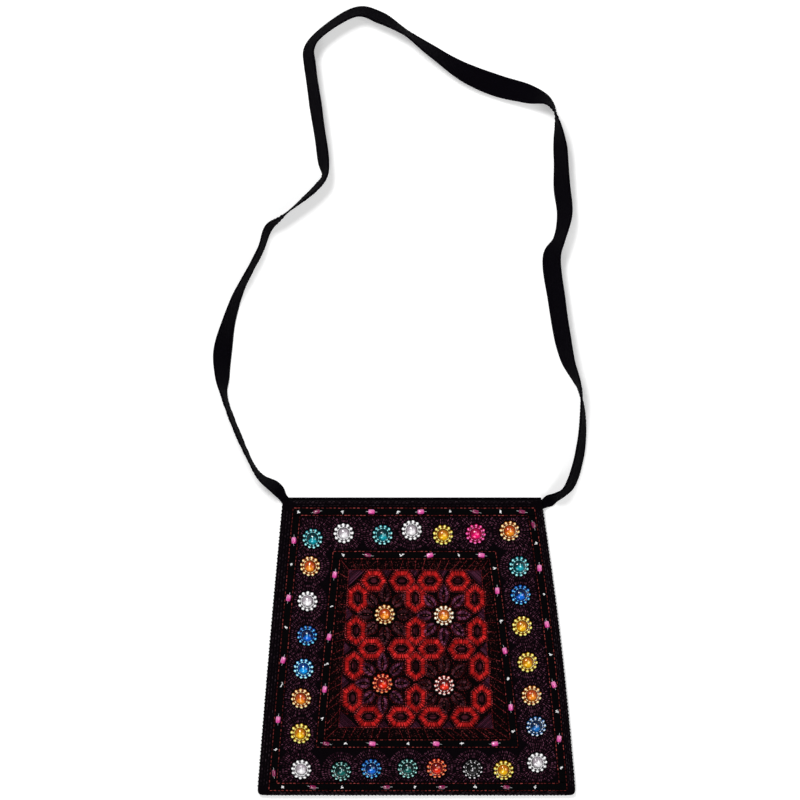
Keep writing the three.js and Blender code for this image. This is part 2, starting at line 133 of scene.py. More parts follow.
class BagSizes(bpy.types.PropertyGroup):
    """Sizes of the two panels and the space between them."""

    bottom_width: length("Bottom width", "Width of the bag along its bottom seam", 290)
    top_width: length("Top width", "Width of the bag along its mouth", 235)
    top_shift: length("Top shift", "How far right the mouth's middle lies of the bottom's middle", -4)
    height: length("Height", "From the bottom seam to the mouth", (BACK_HIGH.y - BACK_LOW.y) / MM)
    left_bulge: length("Left bulge", "How far the left edge swells at mid-height", 0.6)
    right_bulge: length("Right bulge", "How far the right edge swells at mid-height", 2.6)
    corner_radius: length("Corner radius", "Radius of the two bottom corners", 5)
    mouth_step: length("Mouth step", "How much lower the front's mouth edge is than the back's", 2.5)
    back_thickness: length("Back thickness", "Thickness of the back panel", 2)
    front_thickness: length("Front thickness", "Thickness of the front panel", 2.7)
    gap: length("Gap", "Space between two pieces that lie on each other", 0.3)
    loft: length("Loft", "How far the front rises above the seam in the middle", 8)
    loft_ramp: length("Loft ramp", "How far in from a seam the front has risen", 45)


class TrimSizes(bpy.types.PropertyGroup):
    """Sizes of the ribbons, studs, beads and stitches."""

    ribbon_width: length("Ribbon width", "Width of a ribbon strip", 7.4)
    ribbon_top: length("Ribbon height", "Height of the ribbons' faces above the front panel", 1.1)
    patch_top: length("Patch height", "Height of the medallion's cloth above the front panel", 1.3)
    stud_radius: length("Stud radius", "Radius of a moulded stud", 9.25)
    stud_height: length("Stud height", "Height of a stud's dome above its underside", 4.4)
    stitch_pitch: length("Stitch pitch", "Distance from one running stitch to the next", 3.6)
    stitch_length: length("Stitch length", "Length of one running stitch", 2.7)
    thread_radius: length("Thread radius", "Radius of the embroidery thread", 0.34)


class StrapSizes(bpy.types.PropertyGroup):
    """Sizes of the strap."""

    width: length("Width", "Width of the band", 21.5)
    thickness: length("Thickness", "Thickness of the folded band", 1.6)
    end_width: length("End width", "Width of its ends, folded narrow where they are sewn in", 8)
    spread_from: length("Spread from", "Distance from an end where the band starts to widen", 7)
    spread_to: length("Spread to", "Distance from an end where the band has its full width", 23.8)


class Colours(bpy.types.PropertyGroup):
    """Colours of the cloths, threads and beads."""

    cloth: colour("Cloth", "Black cotton of the panels", 8, 4, 8)
    strap: colour("Strap", "Black cotton of the strap", 5, 3, 8)
    lining: colour("Lining", "Thin lining cloth", 18, 14, 20)
    ribbon: colour("Ribbon", "Smooth black ribbon", 3, 3, 4)
    plum: colour("Plum thread", "Thread of the rosettes round the studs", 54, 18, 36)
    margin: colour("Margin thread", "Thread of the rows along the outer edge", 30, 16, 24)
    red: colour("Red thread", "Running stitches along the ribbons", 104, 18, 22)
    satin: colour("Brick red thread", "Satin stitch of the hexagons", 182, 27, 27)
    outline: colour("Outline thread", "Fine stitches that edge the hexagons", 128, 30, 34)
    petal: colour("Petal thread", "Satin stitch of the plum petals", 84, 34, 60)
    maroon: colour("Maroon thread", "Satin stitch of the dark petals", 54, 13, 24)
    medallion: colour("Medallion cloth", "Ground of the medallion", 7, 3, 4)
    seed: colour("Seed thread", "Small stitches in the medallion's border", 56, 14, 16)
    pink: colour("Pink bead", "Glossy pink bead", 218, 62, 154)
    magenta: colour("Dark bead", "Flat dark bead", 126, 22, 74)
    floor: colour("Floor", "Pale floor", 244, 244, 244)


# Each stone's colours: its dark depth, also its painted shade, its bright foil, also its painted glow, and
# its palest colour, for its painted glints; and how far up a pearl of its rim the painted glint starts
STONES = {
    "teal": ((2, 44, 52), (2, 168, 184), (186, 255, 255), 0.48),
    "clear": ((164, 154, 162), (255, 252, 255), (255, 255, 255), 0.16),
    "gold": ((184, 104, 2), (255, 196, 4), (255, 250, 140), 0.34),
    "magenta": ((168, 2, 66), (255, 2, 118), (255, 112, 196), 0.42),
    "amber": ((176, 62, 8), (255, 150, 28), (255, 240, 182), 0.38),
    "blue": ((0, 20, 66), (0, 112, 232), (120, 228, 255), 0.56),
    "bright_blue": ((0, 48, 120), (0, 164, 255), (190, 255, 255), 0.42),
    "dark_teal": ((2, 24, 26), (2, 102, 96), (190, 255, 248), 0.5),
    "orange_red": ((116, 6, 2), (255, 44, 2), (255, 160, 104), 0.46),
    "smoky": ((8, 7, 9), (38, 36, 40), (255, 250, 255), 0.56),
    "pale_amber": ((176, 78, 20), (255, 166, 50), (255, 255, 234), 0.26),
    "red": ((76, 5, 7), (246, 50, 18), (255, 240, 232), 0.36),
    "silver_blue": ((2, 28, 64), (6, 118, 206), (236, 250, 255), 0.48),
}


class BagShape:
    """The bag's plan and the height of its front, worked out from its sizes."""

    def __init__(self, scene):
        self.sizes = scene.bag_sizes
        self.trim = scene.trim_sizes
        self.top = self.sizes.height / 2
        self.bottom = -self.sizes.height / 2
        self.front_mouth = self.top - self.sizes.mouth_step
        self.seam = self.sizes.back_thickness + self.sizes.gap
        self.ribbons = RIBBON_INSETS
        self.band_outside = grown(self.ribbons["outer"], self.trim.ribbon_width)
        self.patch_edge = grown(self.ribbons["inner"], self.trim.ribbon_width)

    def edge(self, y, side):
        """The bag's left (-1) or right (1) edge at a height."""
        s = self.sizes
        share = (y - self.bottom) / s.height
        top = s.top_shift + side * s.top_width / 2
        bottom = side * s.bottom_width / 2
        bulge = s.left_bulge if side < 0 else s.right_bulge
        return bottom + (top - bottom) * share + side * bulge * np.sin(math.pi * share)

    def rise(self, distance):
        share = np.clip(distance / self.sizes.loft_ramp, 0, 1)
        return 2 * share - share**2

    def strap_lift(self, x, y):
        """How far a strap's end lifts the front at each corner of the mouth."""
        lift = 0
        for side in (-1, 1):
            corner = self.edge(self.front_mouth, side)
            away = np.hypot(x - corner, y - self.front_mouth) / STRAP_LIFT_RADIUS
            lift = lift + STRAP_LIFT * np.clip(1 - away**2, 0, 1) ** 2
        return lift

    def underside(self, x, y):
        s = self.sizes
        sides = self.rise(x - self.edge(y, -1)) * self.rise(self.edge(y, 1) - x)
        return self.seam + s.loft * sides * self.rise(y - self.bottom) + self.strap_lift(x, y)

    def panel_face(self, x, y):
        return self.underside(x, y) + self.sizes.front_thickness

    def cloth(self, x, y):
        """The front panel's outer face, with the cloth's small swells between its stitches."""
        a, b, c, d = SWELL_LENGTHS
        bend_x, bend_y = SWELL_BENDS
        swell = np.sin(x / a + bend_x * np.sin(y / b)) * np.sin(y / c + bend_y * np.sin(x / d))
        a, b, c, d = WAVE_LENGTHS
        wave = np.sin(x / a + y / b) * np.sin(y / c - x / d)
        height = CLOTH_STAND_OFF + SWELL_HEIGHT * swell + WAVE_HEIGHT * wave
        return self.panel_face(x, y) + height * MM

    def ribbon_face(self, x, y):
        return self.panel_face(x, y) + self.trim.ribbon_top

    def patch_face(self, x, y):
        return self.panel_face(x, y) + self.trim.patch_top

    def inset_point(self, insets, across, down):
        """A plan point by its shares from left to right and from top to bottom of an inset frame."""
        high = self.top - insets["top"]
        low = self.bottom + insets["bottom"]
        y = high + (low - high) * down
        left = self.edge(y, -1) + insets["left"]
        right = self.edge(y, 1) - insets["right"]
        return np.stack(np.broadcast_arrays(left + (right - left) * across, y), axis=-1)

    def inset_side(self, insets, side, count=40):
        """The line along one side of an inset frame, from its left or top end."""
        shares = np.linspace(0, 1, count)
        if side in ("top", "bottom"):
            return self.inset_point(insets, shares, 0.0 if side == "top" else 1.0)
        return self.inset_point(insets, 0.0 if side == "left" else 1.0, shares)


def grown(insets, by):
    """The insets of a frame that lies further in by a distance."""
    return {side: inset + by for side, inset in insets.items()}


class Value:
    """A shader socket that takes part in sums."""

    def __init__(self, recipe, socket):
        self.recipe = recipe
        self.socket = socket

    def combined(self, operation, first, second):
        kinds = {v.socket.type for v in (first, second) if isinstance(v, Value)}
        if "RGBA" in kinds:
            settings = {"data_type": "RGBA", "blend_type": operation}
            return self.recipe.node("ShaderNodeMix", settings, {0: 1.0, 6: first, 7: second}, 2)
        kind = "ShaderNodeVectorMath" if "VECTOR" in kinds else "ShaderNodeMath"
        return self.recipe.node(kind, {"operation": operation}, {0: first, 1: second})

    def __add__(self, other):
        return self.combined("ADD", self, other)

    def __radd__(self, other):
        return self.combined("ADD", other, self)

    def __sub__(self, other):
        return self.combined("SUBTRACT", self, other)

    def __rsub__(self, other):
        return self.combined("SUBTRACT", other, self)

    def __mul__(self, other):
        return self.combined("MULTIPLY", self, other)

    def __rmul__(self, other):
        return self.combined("MULTIPLY", other, self)

    def wave(self):
        """Its sine."""
        return self.recipe.node("ShaderNodeMath", {"operation": "SINE"}, {0: self})

    def between(self, low, high):
        """0 below low, 1 above high, and smooth between them."""
        settings = {"interpolation_type": "SMOOTHSTEP", "clamp": True}
        return self.recipe.node("ShaderNodeMapRange", settings, {0: self, 1: low, 2: high})


class Recipe:
    """The nodes of one material."""

    def __init__(self, name):
        self.material = bpy.data.materials.new(name)
        self.material.use_nodes = True
        self.tree = self.material.node_tree
        self.tree.nodes.clear()

    def node(self, kind, settings=None, inputs=None, output=0):
        made = self.tree.nodes.new(kind)
        for name, value in (settings or {}).items():
            setattr(made, name, value)
        for name, value in (inputs or {}).items():
            socket = made.inputs[name]
            if isinstance(value, Value):
                self.tree.links.new(value.socket, socket)
            elif socket.type == "RGBA":
                parts = tuple(value) if hasattr(value, "__len__") else (value,) * 3
                socket.default_value = (*parts[:3], 1.0)
            else:
                socket.default_value = value
        return Value(self, made.outputs[output])

    def place(self):
        """The point on the object, in metres."""
        return self.node("ShaderNodeTexCoord", output="Object")

    def parts(self, vector):
        """A vector's x, y and z."""
        split = self.node("ShaderNodeSeparateXYZ", {}, {0: vector})
        return [Value(self, socket) for socket in split.socket.node.outputs]

    def attribute(self, name):
        """A value kept on the mesh's points."""
        return self.node("ShaderNodeAttribute", {"attribute_name": name}, output="Fac")

    def noise(self, size, detail=2.0, place=None):
        """Soft noise, 0 to 1, with blotches of a size in metres."""
        inputs = {"Vector": place or self.place(), "Scale": 1 / size, "Detail": detail}
        return self.node("ShaderNodeTexNoise", {}, inputs)

    def mix(self, share, first, second):
        return self.node("ShaderNodeMix", {"data_type": "RGBA"}, {0: share, 6: first, 7: second}, 2)

    def bump(self, height, distance, strength=1.0):
        inputs = {"Height": height, "Distance": distance, "Strength": strength}
        return self.node("ShaderNodeBump", {}, inputs)

    def surface(self, shader):
        output = self.tree.nodes.new("ShaderNodeOutputMaterial")
        self.tree.links.new(shader.socket, output.inputs["Surface"])
        return self.material

    def principled(self, **inputs):
        named = {name.replace("_", " ").title().replace("Ior", "IOR"): v for name, v in inputs.items()}
        return self.surface(self.node("ShaderNodeBsdfPrincipled", {}, named))


def tinted(recipe, tone, value, low=0.5, high=1.5, pale=0.0):
    """A colour from darker to lighter and paler as a value goes from 0 to 1."""
    dark = tuple(c * low for c in tone)
    light = tuple(np.minimum(np.array(tone) * high + pale, 1.0))
    return recipe.mix(value, dark, light)


def weave(recipe, pitch):
    """A plain weave's height over the cloth."""
    x, y, z = recipe.parts(recipe.place())
    turns = TURN / pitch
    return (x * turns).wave() * (y * turns + z * turns).wave()


# Sizes of the cotton's slubs and of the lint on it, and of a ribbon's ribs and blotches
SLUB_SIZE = 0.7 * MM
LINT_SIZE = 2.2 * MM
RIB_PITCH = 0.55 * MM
BLOTCH_SIZE = 5 * MM


def cloth_finish(name, tone, pitch=0.8 * MM, fleck=1.6):
    """Matt woven cotton with slubs and a little lint."""
    recipe = Recipe(name)
    threads = weave(recipe, pitch)
    slubs = recipe.noise(SLUB_SIZE, 3.0)
    lint = recipe.noise(LINT_SIZE, 4.0).between(0.6, 0.75)
    shade = (slubs * 0.6 + threads * 0.15 + lint * 0.35).between(0.1, 0.9)
    tone_here = tinted(recipe, tone, shade, 0.45, fleck)
    normal = recipe.bump(threads * 0.6 + slubs, 0.25 * MM, 0.7)
    return recipe.principled(base_color=tone_here, roughness=0.92, specular_ior_level=0.03, normal=normal)


def ribbon_finish(tone):
    """Smooth ribbon with fine ribs and a low sheen."""
    recipe = Recipe("ribbon_weave")
    x, y, _ = recipe.parts(recipe.place())
    ribs = ((x + y) * (TURN / RIB_PITCH)).wave()
    blotches = recipe.noise(BLOTCH_SIZE, 2.0)
    normal = recipe.bump(ribs, 0.05 * MM, 0.5)
    return recipe.principled(
        base_color=tinted(recipe, tone, blotches, 0.4, 1.6),
        roughness=blotches * 0.2 + 0.6,
        specular_ior_level=0.02,
        normal=normal,
    )


def thread_finish(name, tone, low=0.4, high=1.5, pale=0.0, roughness=0.55):
    """Twisted embroidery thread; each stitch has its own random tint, the palest ones painted highlights."""
    recipe = Recipe(name)
    along, around, _ = recipe.parts(recipe.node("ShaderNodeUVMap", {"uv_map": "thread"}))
    twist = ((along + around) * TURN).wave()
    shade = recipe.attribute("tint") * 0.9 + twist * 0.1
    normal = recipe.bump(twist, 0.08 * MM, 0.6)
    return recipe.principled(
        base_color=tinted(recipe, tone, shade, low, high, pale),
        roughness=roughness,
        specular_ior_level=0.03,
        normal=normal,
    )


# Threads: the colour of each, how dark and how light its stitches are by shares of the colour, how pale
# the lightest are as painted highlights, and its roughness where it isn't the usual
# A tan painted highlight for the lightest red stitches
TAN_GLINT = (0.05, 0.06, 0.045)
THREADS = {
    "strap_thread": ("strap", 0.8, 2.4),
    "seam_thread": ("cloth", 0.9, 2.6),
    "red_thread": ("red", 0.25, 3.0, TAN_GLINT),
    "margin_thread": ("margin", 0.3, 2.4, 0.02),
    "plum_thread": ("plum", 0.3, 4.0, 0.035),
    "satin_thread": ("satin", 0.7, 2.0, 0.02, 0.46),
    "deep_satin_thread": ("satin", 0.25, 1.5, 0.0, 0.5),
    "outline_thread": ("outline", 0.5, 3.8, 0.07),
    "lens_thread": ("maroon", 0.3, 3.6, 0.01),
    "plum_petals_thread": ("petal", 0.22, 3.4, 0.03, 0.45),
    "maroon_petals_thread": ("maroon", 0.22, 3.4, 0.03, 0.45),
    "speck_thread": ("outline", 0.5, 1.6, 0.16),
    "edge_thread": ("outline", 0.2, 1.4, 0.03),
    "corner_thread": ("petal", 0.25, 1.3, 0.01, 0.45),
    "ground_thread": ("outline", 0.1, 1.2, 0.0),
    "tie_thread": ("red", 0.45, 2.6, 0.03),
    "seed_thread": ("seed", 0.3, 4.2, 0.02),
}


def thread(scene, name):
    """The finish of one of the threads."""
    tone, *looks = THREADS[name]
    return thread_finish(name, getattr(scene.bag_colours, tone), *looks)


# A stud's dome, in shares of its radius: how many foil facets go across its radius, the middle of its
# painted glow, and where its painted pale line of glint lies and the square of that line's half width
FACETS = 3.4
PAINTED_GLOW_PLACE = (0.08, -0.45)
PAINTED_STREAK_PLACE = 0.04
PAINTED_STREAK_SPREAD = 0.012


def stone_finish(name, deep, bright, pale):
    """A moulded dome over crinkled foil, with painted light from above glowing in its lower part."""
    recipe = Recipe(name)
    place = recipe.node("ShaderNodeUVMap", {"uv_map": "stone"})
    x, y, _ = recipe.parts(place)
    facets = {"Vector": place, "Scale": FACETS}
    cells = recipe.node("ShaderNodeTexVoronoi", {"feature": "F1"}, facets, "Color")
    crinkle = recipe.parts(cells)[0]
    clouds = recipe.noise(0.4, 3.0, place)
    # Painted glow: brightest in the dome's lower middle, as of light from above, with painted shade toward
    # its top
    aside = x - PAINTED_GLOW_PLACE[0]
    below = y - PAINTED_GLOW_PLACE[1]
    painted_glow = 1.0 - (aside * aside + below * below) * 1.9
    level = (painted_glow + crinkle * 0.9 + clouds * 0.8 - 0.85).between(-0.4, 0.9)
    tone = recipe.mix(level, deep, bright)
    # Painted shade: a dark ring round the dome's edge
    rim = (x * x + y * y).between(0.6, 0.98) * 0.8
    tone = recipe.mix(rim, tone, tuple(c * 0.2 for c in deep))
    # Painted glint: a pale line down the dome's middle
    off = x - PAINTED_STREAK_PLACE
    painted_streak = (PAINTED_STREAK_SPREAD - off * off).between(0.0, PAINTED_STREAK_SPREAD)
    length_wise = y.between(-0.3, 0.0) * (1.0 - y.between(0.3, 0.55))
    tone = recipe.mix(painted_streak * length_wise * clouds.between(0.3, 0.55), tone, pale)
    return recipe.principled(
        base_color=tone, metallic=0.1, roughness=0.12, specular_ior_level=0.35, coat_weight=0.5
    )


def rim_finish(name, deep, bright, pale, glint_from):
    """A stud's rim: painted shade darkens it between and round its pearls, and a painted glint pales each
    pearl.
    """
    recipe = Recipe(name)
    place = recipe.node("ShaderNodeUVMap", {"uv_map": "stone"})
    level = recipe.attribute("tint") + recipe.noise(0.3, 2.0, place) * 0.8 - 0.4
    pearl = tuple(c * (1.2 - glint_from) for c in bright)
    # Painted shade where the level is low, a quarter of the deep colour; painted glint where it is high
    body = recipe.mix(level.between(0.0, 0.4), tuple(c * 0.25 for c in deep), pearl)
    tone = recipe.mix(level.between(glint_from, glint_from + 0.2), body, pale)
    return recipe.principled(base_color=tone, roughness=0.2, specular_ior_level=0.35, coat_weight=0.3)


def bead_finish(pink, dull):
    """Glossy pink beads, some of them flat and dark."""
    recipe = Recipe("bead_gloss")
    tint = recipe.attribute("tint")
    # A tint of 0 marks a dull bead; on a pink bead the tint is painted light, toward the dull colour on its
    # lower right and toward pale pink on its upper left
    tone = recipe.mix(tint.between(0.0, 0.5), dull, pink)
    tone = recipe.mix(tint.between(0.5, 1.0) * 0.28, tone, (1.0, 0.6, 0.84))
    clouds = recipe.noise(0.8 * MM, 2.0)
    return recipe.principled(
        base_color=tone * (clouds * 0.4 + 0.8), roughness=0.16, coat_weight=0.8, coat_roughness=0.05
    )


def glass_finish():
    """Clear silver-lined glass and the pale thread that holds it, flecked white as painted glints."""
    recipe = Recipe("bead_glass")
    # Painted glints: white flecks
    painted_sparkle = recipe.noise(0.5 * MM, 2.0).between(0.3, 0.7)
    tone = recipe.mix(painted_sparkle, (0.6, 0.6, 0.62), (1.0, 1.0, 1.0))
    return recipe.principled(base_color=tone, roughness=0.2, coat_weight=0.6)


def link(name, mesh, *finishes):
    """A new object for a mesh, with its materials."""
    for finish in finishes:
        mesh.materials.append(finish)
    made = bpy.data.objects.new(name, mesh)
    bpy.context.scene.collection.objects.link(made)
    return made


def mesh_of(name, points, faces, tint=None, uv=None, uv_name="thread", finish_index=None):
    """A smooth mesh from points and faces, with each point's tint and place on the pattern."""
    mesh = bpy.data.meshes.new(name)
    mesh.from_pydata(points.tolist(), [], faces)
    mesh.polygons.foreach_set("use_smooth", np.ones(len(faces), bool))
    if tint is not None:
        made = mesh.attributes.new("tint", "FLOAT", "POINT")
        made.data.foreach_set("value", np.asarray(tint, np.float32))
    if uv is not None:
        corners = np.zeros(len(mesh.loops), np.int32)
        mesh.loops.foreach_get("vertex_index", corners)
        layer = mesh.uv_layers.new(name=uv_name)
        layer.uv.foreach_set("vector", uv[corners].astype(np.float32).ravel())
    if finish_index is not None:
        mesh.polygons.foreach_set("material_index", np.asarray(finish_index, np.int32))
    mesh.update()
    return mesh


def keep(piece, slot, *nodes):
    """Sets what a finished piece rides on and the solids that it stands for; its finish's slot is not used.
    """
    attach(piece, BODY)
    if nodes:
        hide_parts(*nodes)
    return piece


def tubes(rings):
    """Points and faces of closed tubes, from an array of tubes, rings, sides and coordinates."""
    count, length_wise, around, _ = rings.shape
    index = np.arange(count * length_wise * around).reshape(count, length_wise, around)
    ahead = np.roll(index, -1, axis=2)
    quads = np.stack([index[:, :-1], ahead[:, :-1], ahead[:, 1:], index[:, 1:]], axis=-1)
    caps = [index[:, 0, ::-1].tolist(), index[:, -1].tolist()]
    return rings.reshape(-1, 3), quads.reshape(-1, 4).tolist() + caps[0] + caps[1]


def slab(low, high):
    """Points and faces of a closed slab between two grids of points."""
    rows, columns, _ = high.shape
    under = np.arange(rows * columns).reshape(rows, columns)
    over = under + rows * columns

    def quads(grid):
        return np.stack([grid[:-1, :-1], grid[:-1, 1:], grid[1:, 1:], grid[1:, :-1]], axis=-1).reshape(-1, 4)

    def rim(grid):
        return np.concatenate([grid[0, :-1], grid[:-1, -1], grid[-1, :0:-1], grid[:0:-1, 0]])

    a, b = rim(under), rim(over)
    walls = np.stack([a, np.roll(a, -1), np.roll(b, -1), b], axis=-1)
    faces = np.concatenate([quads(over), quads(under)[:, ::-1], walls])
    return np.concatenate([low.reshape(-1, 3), high.reshape(-1, 3)]), faces.tolist()


def joined(*parts):
    """Several sets of points and faces as one."""
    points, faces, start = [], [], 0
    for some_points, some_faces in parts:
        points.append(some_points)
        faces += [[i + start for i in face] for face in some_faces]
        start += len(some_points)
    return np.concatenate(points), faces


def at_level(plan, level):
    """Plan points at one height, or each at its own."""
    heights = np.broadcast_to(level, plan.shape[:-1])
    return np.concatenate([plan, heights[..., None]], axis=-1)


def on(surface, plan):
    """Plan points laid on a surface."""
    return at_level(plan, surface(plan[..., 0], plan[..., 1]))


def unit(vectors):
    """Vectors scaled to a length of 1."""
    return vectors / np.linalg.norm(vectors, axis=-1, keepdims=True)


def heading(angles):
    """Plan directions at angles."""
    return np.stack([np.cos(angles), np.sin(angles)], axis=-1)


# A stitch: its sides, and the places along it where its girth, lift and painted shade are set; the
# painted shade darkens its ends, where it sinks into the cloth
STITCH_SIDES = 5
STITCH_SHARES = np.array([0.0, 0.2, 0.8, 1.0])
STITCH_GIRTH = np.array([0.55, 1.0, 1.0, 0.55])
STITCH_LIFT = np.array([-0.1, 0.6, 0.6, -0.1])
PAINTED_END_SHADE = np.array([0.1, 1.0, 1.0, 0.1])
TWISTS_PER_METRE = 900
SHORTEST_STITCH = 0.2 * MM

# Running stitches stray by this share of their pitch, and their lengths vary between these shares
PITCH_STRAY = 0.12
LENGTH_RANGE = (0.85, 1.1)


def stitch_piece(name, starts, ends, radius, finish, slot, seed, normals=(0.0, 0.0, 1.0)):
    """Many stitches as one piece: each is a thread that rises from the cloth and sinks back into it."""
    span = ends - starts
    lengths = np.linalg.norm(span, axis=1)
    kept = lengths > SHORTEST_STITCH
    starts, span, lengths = starts[kept], span[kept], lengths[kept]
    normals = np.broadcast_to(np.asarray(normals, float), (len(kept), 3))[kept]
    forward = span / lengths[:, None]
    left = unit(np.cross(normals, forward))
    up = np.cross(forward, left)
    angles = TURN * np.arange(STITCH_SIDES) / STITCH_SIDES - TURN / 4
    centres = starts[:, None] + span[:, None] * STITCH_SHARES[:, None]
    centres = centres + up[:, None] * (STITCH_LIFT * radius)[:, None]
    around = left[:, None] * np.cos(angles)[:, None] + up[:, None] * np.sin(angles)[:, None]
    rings = centres[:, :, None] + around[:, None] * (STITCH_GIRTH * radius)[:, None, None]
    points, faces = tubes(rings)
    random = np.random.default_rng(seed)
    # Each stitch's random tint, with painted shade darkening its ends
    tint = np.repeat((random.random(len(starts)) ** 2)[:, None] * PAINTED_END_SHADE, STITCH_SIDES)
    along = lengths[:, None, None] * STITCH_SHARES[:, None] * TWISTS_PER_METRE
    turn = np.arange(STITCH_SIDES) / STITCH_SIDES
    uv = np.stack(np.broadcast_arrays(along, turn), axis=-1).reshape(-1, 2)
    piece = link(name, mesh_of(name, points, faces, tint, uv), finish)
    return keep(piece, slot)


def dashes(line, pitch, dash, random, stray=0.1 * MM):
    """Starts and ends of running stitches along a plan line."""
    steps = np.linalg.norm(np.diff(line, axis=0), axis=1)
    along = np.concatenate([[0], np.cumsum(steps)])
    count = max(1, int(round(along[-1] / pitch)))
    off = random.uniform(-PITCH_STRAY, PITCH_STRAY, count) * pitch
    middles = (np.arange(count) + 0.5) * along[-1] / count + off
    reach = dash / 2 * random.uniform(*LENGTH_RANGE, count)

    def at(places):
        return np.stack([np.interp(places, along, line[:, k]) for k in (0, 1)], axis=-1)

    shift = random.uniform(-stray, stray, (count, 2))
    return at(middles - reach) + shift, at(middles + reach) + shift


def scattered(middle, half, random):
    """Short stitches at plan points, each turned its own way; half is in millimetres."""
    way = heading(random.uniform(0, TURN, len(middle))) * half * MM
    return middle - way, middle + way


def gathered(pairs):
    """Lists of starts and ends as two arrays."""
    return tuple(np.concatenate(side) for side in zip(*pairs))


def smoothstep(value, low, high):
    share = np.clip((value - low) / (high - low), 0, 1)
    return share * share * (3 - 2 * share)


# Stage

class Maker:
    """What the operators share: each makes its pieces in the scene."""

    def execute(self, context):
        self.make(context.scene)
        return {"FINISHED"}


# Each light's name, place, size in metres and power in watts
LIGHTS = [
    ("key_light", (-0.6, 1.35, 1.9), 0.7, 38),
    ("fill_light", (1.2, -0.1, 1.8), 0.9, 14),
    ("low_light", (-0.5, -1.4, 1.7), 0.8, 14),
]

# The floor shines by itself to the rays that see it, and more so between these squares of the distance
SEEN_RAYS = ("Is Camera Ray", "Is Glossy Ray", "Is Transmission Ray")
FLOOR_GLOW = 0.3
FAR_GLOW = 0.9
FAR_RANGE = (0.8, 7.0)
FLOOR_REACH = 30.0
FLOOR_LEVEL = -0.1 * MM
SKY_LEVEL = 0.14


class BAG_OT_stage(Maker, bpy.types.Operator):
    """Makes the camera, the lights, the pale floor and the background"""

    bl_idname = "bag.stage"
    bl_label = "Stage"

    def make(self, scene):
        scene.view_settings.view_transform = "Standard"
        camera = bpy.data.cameras.new("camera")
        camera.lens = CAMERA_LENS
        camera.sensor_width = SENSOR_WIDTH
        camera.clip_end = CAMERA_REACH
        eye = bpy.data.objects.new("camera", camera)
        x, y, z = VIEW_MIDDLE
        eye.location = (x, y, z + VIEW_WIDTH * CAMERA_LENS / SENSOR_WIDTH)
        scene.collection.objects.link(eye)
        scene.camera = eye
        for name, place, size, power in LIGHTS:
            lamp = bpy.data.lights.new(name, "AREA")
            lamp.size = size
            lamp.energy = power
            light = bpy.data.objects.new(name, lamp)
            light.location = place
            aim = Vector(VIEW_MIDDLE) - Vector(place)
            light.rotation_euler = aim.to_track_quat("-Z", "Y").to_euler()
            scene.collection.objects.link(light)
        self.add_floor(scene)
        self.add_background(scene)

    def add_floor(self, scene):
        recipe = Recipe("floor_paint")
        rays = [recipe.node("ShaderNodeLightPath", output=name) for name in SEEN_RAYS]
        seen = (rays[0] + rays[1] + rays[2]).between(0.0, 1.0)
        grain = recipe.noise(0.05, 3.0)
        tone = tinted(recipe, scene.bag_colours.floor, grain, 0.98, 1.0)
        paint = recipe.node("ShaderNodeBsdfDiffuse", {}, {"Color": tone})
        x, y, _ = recipe.parts(recipe.place())
        far = (x * x + y * y).between(*FAR_RANGE)
        level = seen * (far * FAR_GLOW + FLOOR_GLOW)
        glow = recipe.node("ShaderNodeEmission", {}, {"Color": 1.0, "Strength": level})
        recipe.surface(recipe.node("ShaderNodeAddShader", {}, {0: paint, 1: glow}))
        corners = np.array([[-1, -1, 0], [1, -1, 0], [1, 1, 0], [-1, 1, 0]]) * FLOOR_REACH
        corners[:, 2] = FLOOR_LEVEL
        floor = link("floor", mesh_of("floor", corners, [[0, 1, 2, 3]]), recipe.material)

    def add_background(self, scene):
        world = bpy.data.worlds.new("studio")
        scene.world = world
        world.use_nodes = True
        tree = world.node_tree
        tree.nodes.clear()
        recipe = Recipe.__new__(Recipe)
        recipe.tree = tree
        seen = recipe.node("ShaderNodeLightPath", output="Is Camera Ray")
        strength = seen * (1.0 - SKY_LEVEL) + SKY_LEVEL
        sky = recipe.node("ShaderNodeBackground", {}, {"Color": 1.0, "Strength": strength})
        output = tree.nodes.new("ShaderNodeOutputWorld")
        tree.links.new(sky.socket, output.inputs["Surface"])


# Strap

# Stations between two points of the route, points round the band, and how square the band's section is
STRAP_STEPS = 14
STRAP_AROUND = 32
STRAP_SQUARENESS = 7
WRINKLE_DEPTH = 0.45 * MM

# The seams along the strap: their pitch, how many stitches are left out at each end, where they lie as a
# share of the half width, half a stitch's length as a share of the pitch, and the thread's radius
SEAM_PITCH = 3.2 * MM
SEAM_LEFT_OUT = 4
SEAM_PLACE = 0.8
SEAM_REACH = 0.33
SEAM_RADIUS = 0.28 * MM


def curve_through(points, steps):
    """A smooth centripetal curve through plan points, with so many steps between neighbours."""
    ends = np.concatenate([[2 * points[0] - points[1]], points, [2 * points[-1] - points[-2]]])
    p0, p1, p2, p3 = (ends[k : len(ends) - 3 + k, None] for k in range(4))
    spans = ((p0, p1), (p1, p2), (p2, p3))
    d0, d1, d2 = (np.linalg.norm(b - a, axis=-1, keepdims=True) ** 0.5 for a, b in spans)
    start = ((p1 - p0) / d0 - (p2 - p0) / (d0 + d1) + (p2 - p1) / d1) * d1
    stop = ((p2 - p1) / d1 - (p3 - p1) / (d1 + d2) + (p3 - p2) / d2) * d1
    t = (np.arange(steps) / steps)[None, :, None]
    square = 3 * (p2 - p1) - 2 * start - stop
    cube = 2 * (p1 - p2) + start + stop
    cubic = p1 + start * t + square * t**2 + cube * t**3
    return np.concatenate([cubic.reshape(-1, points.shape[1]), points[-1:]])


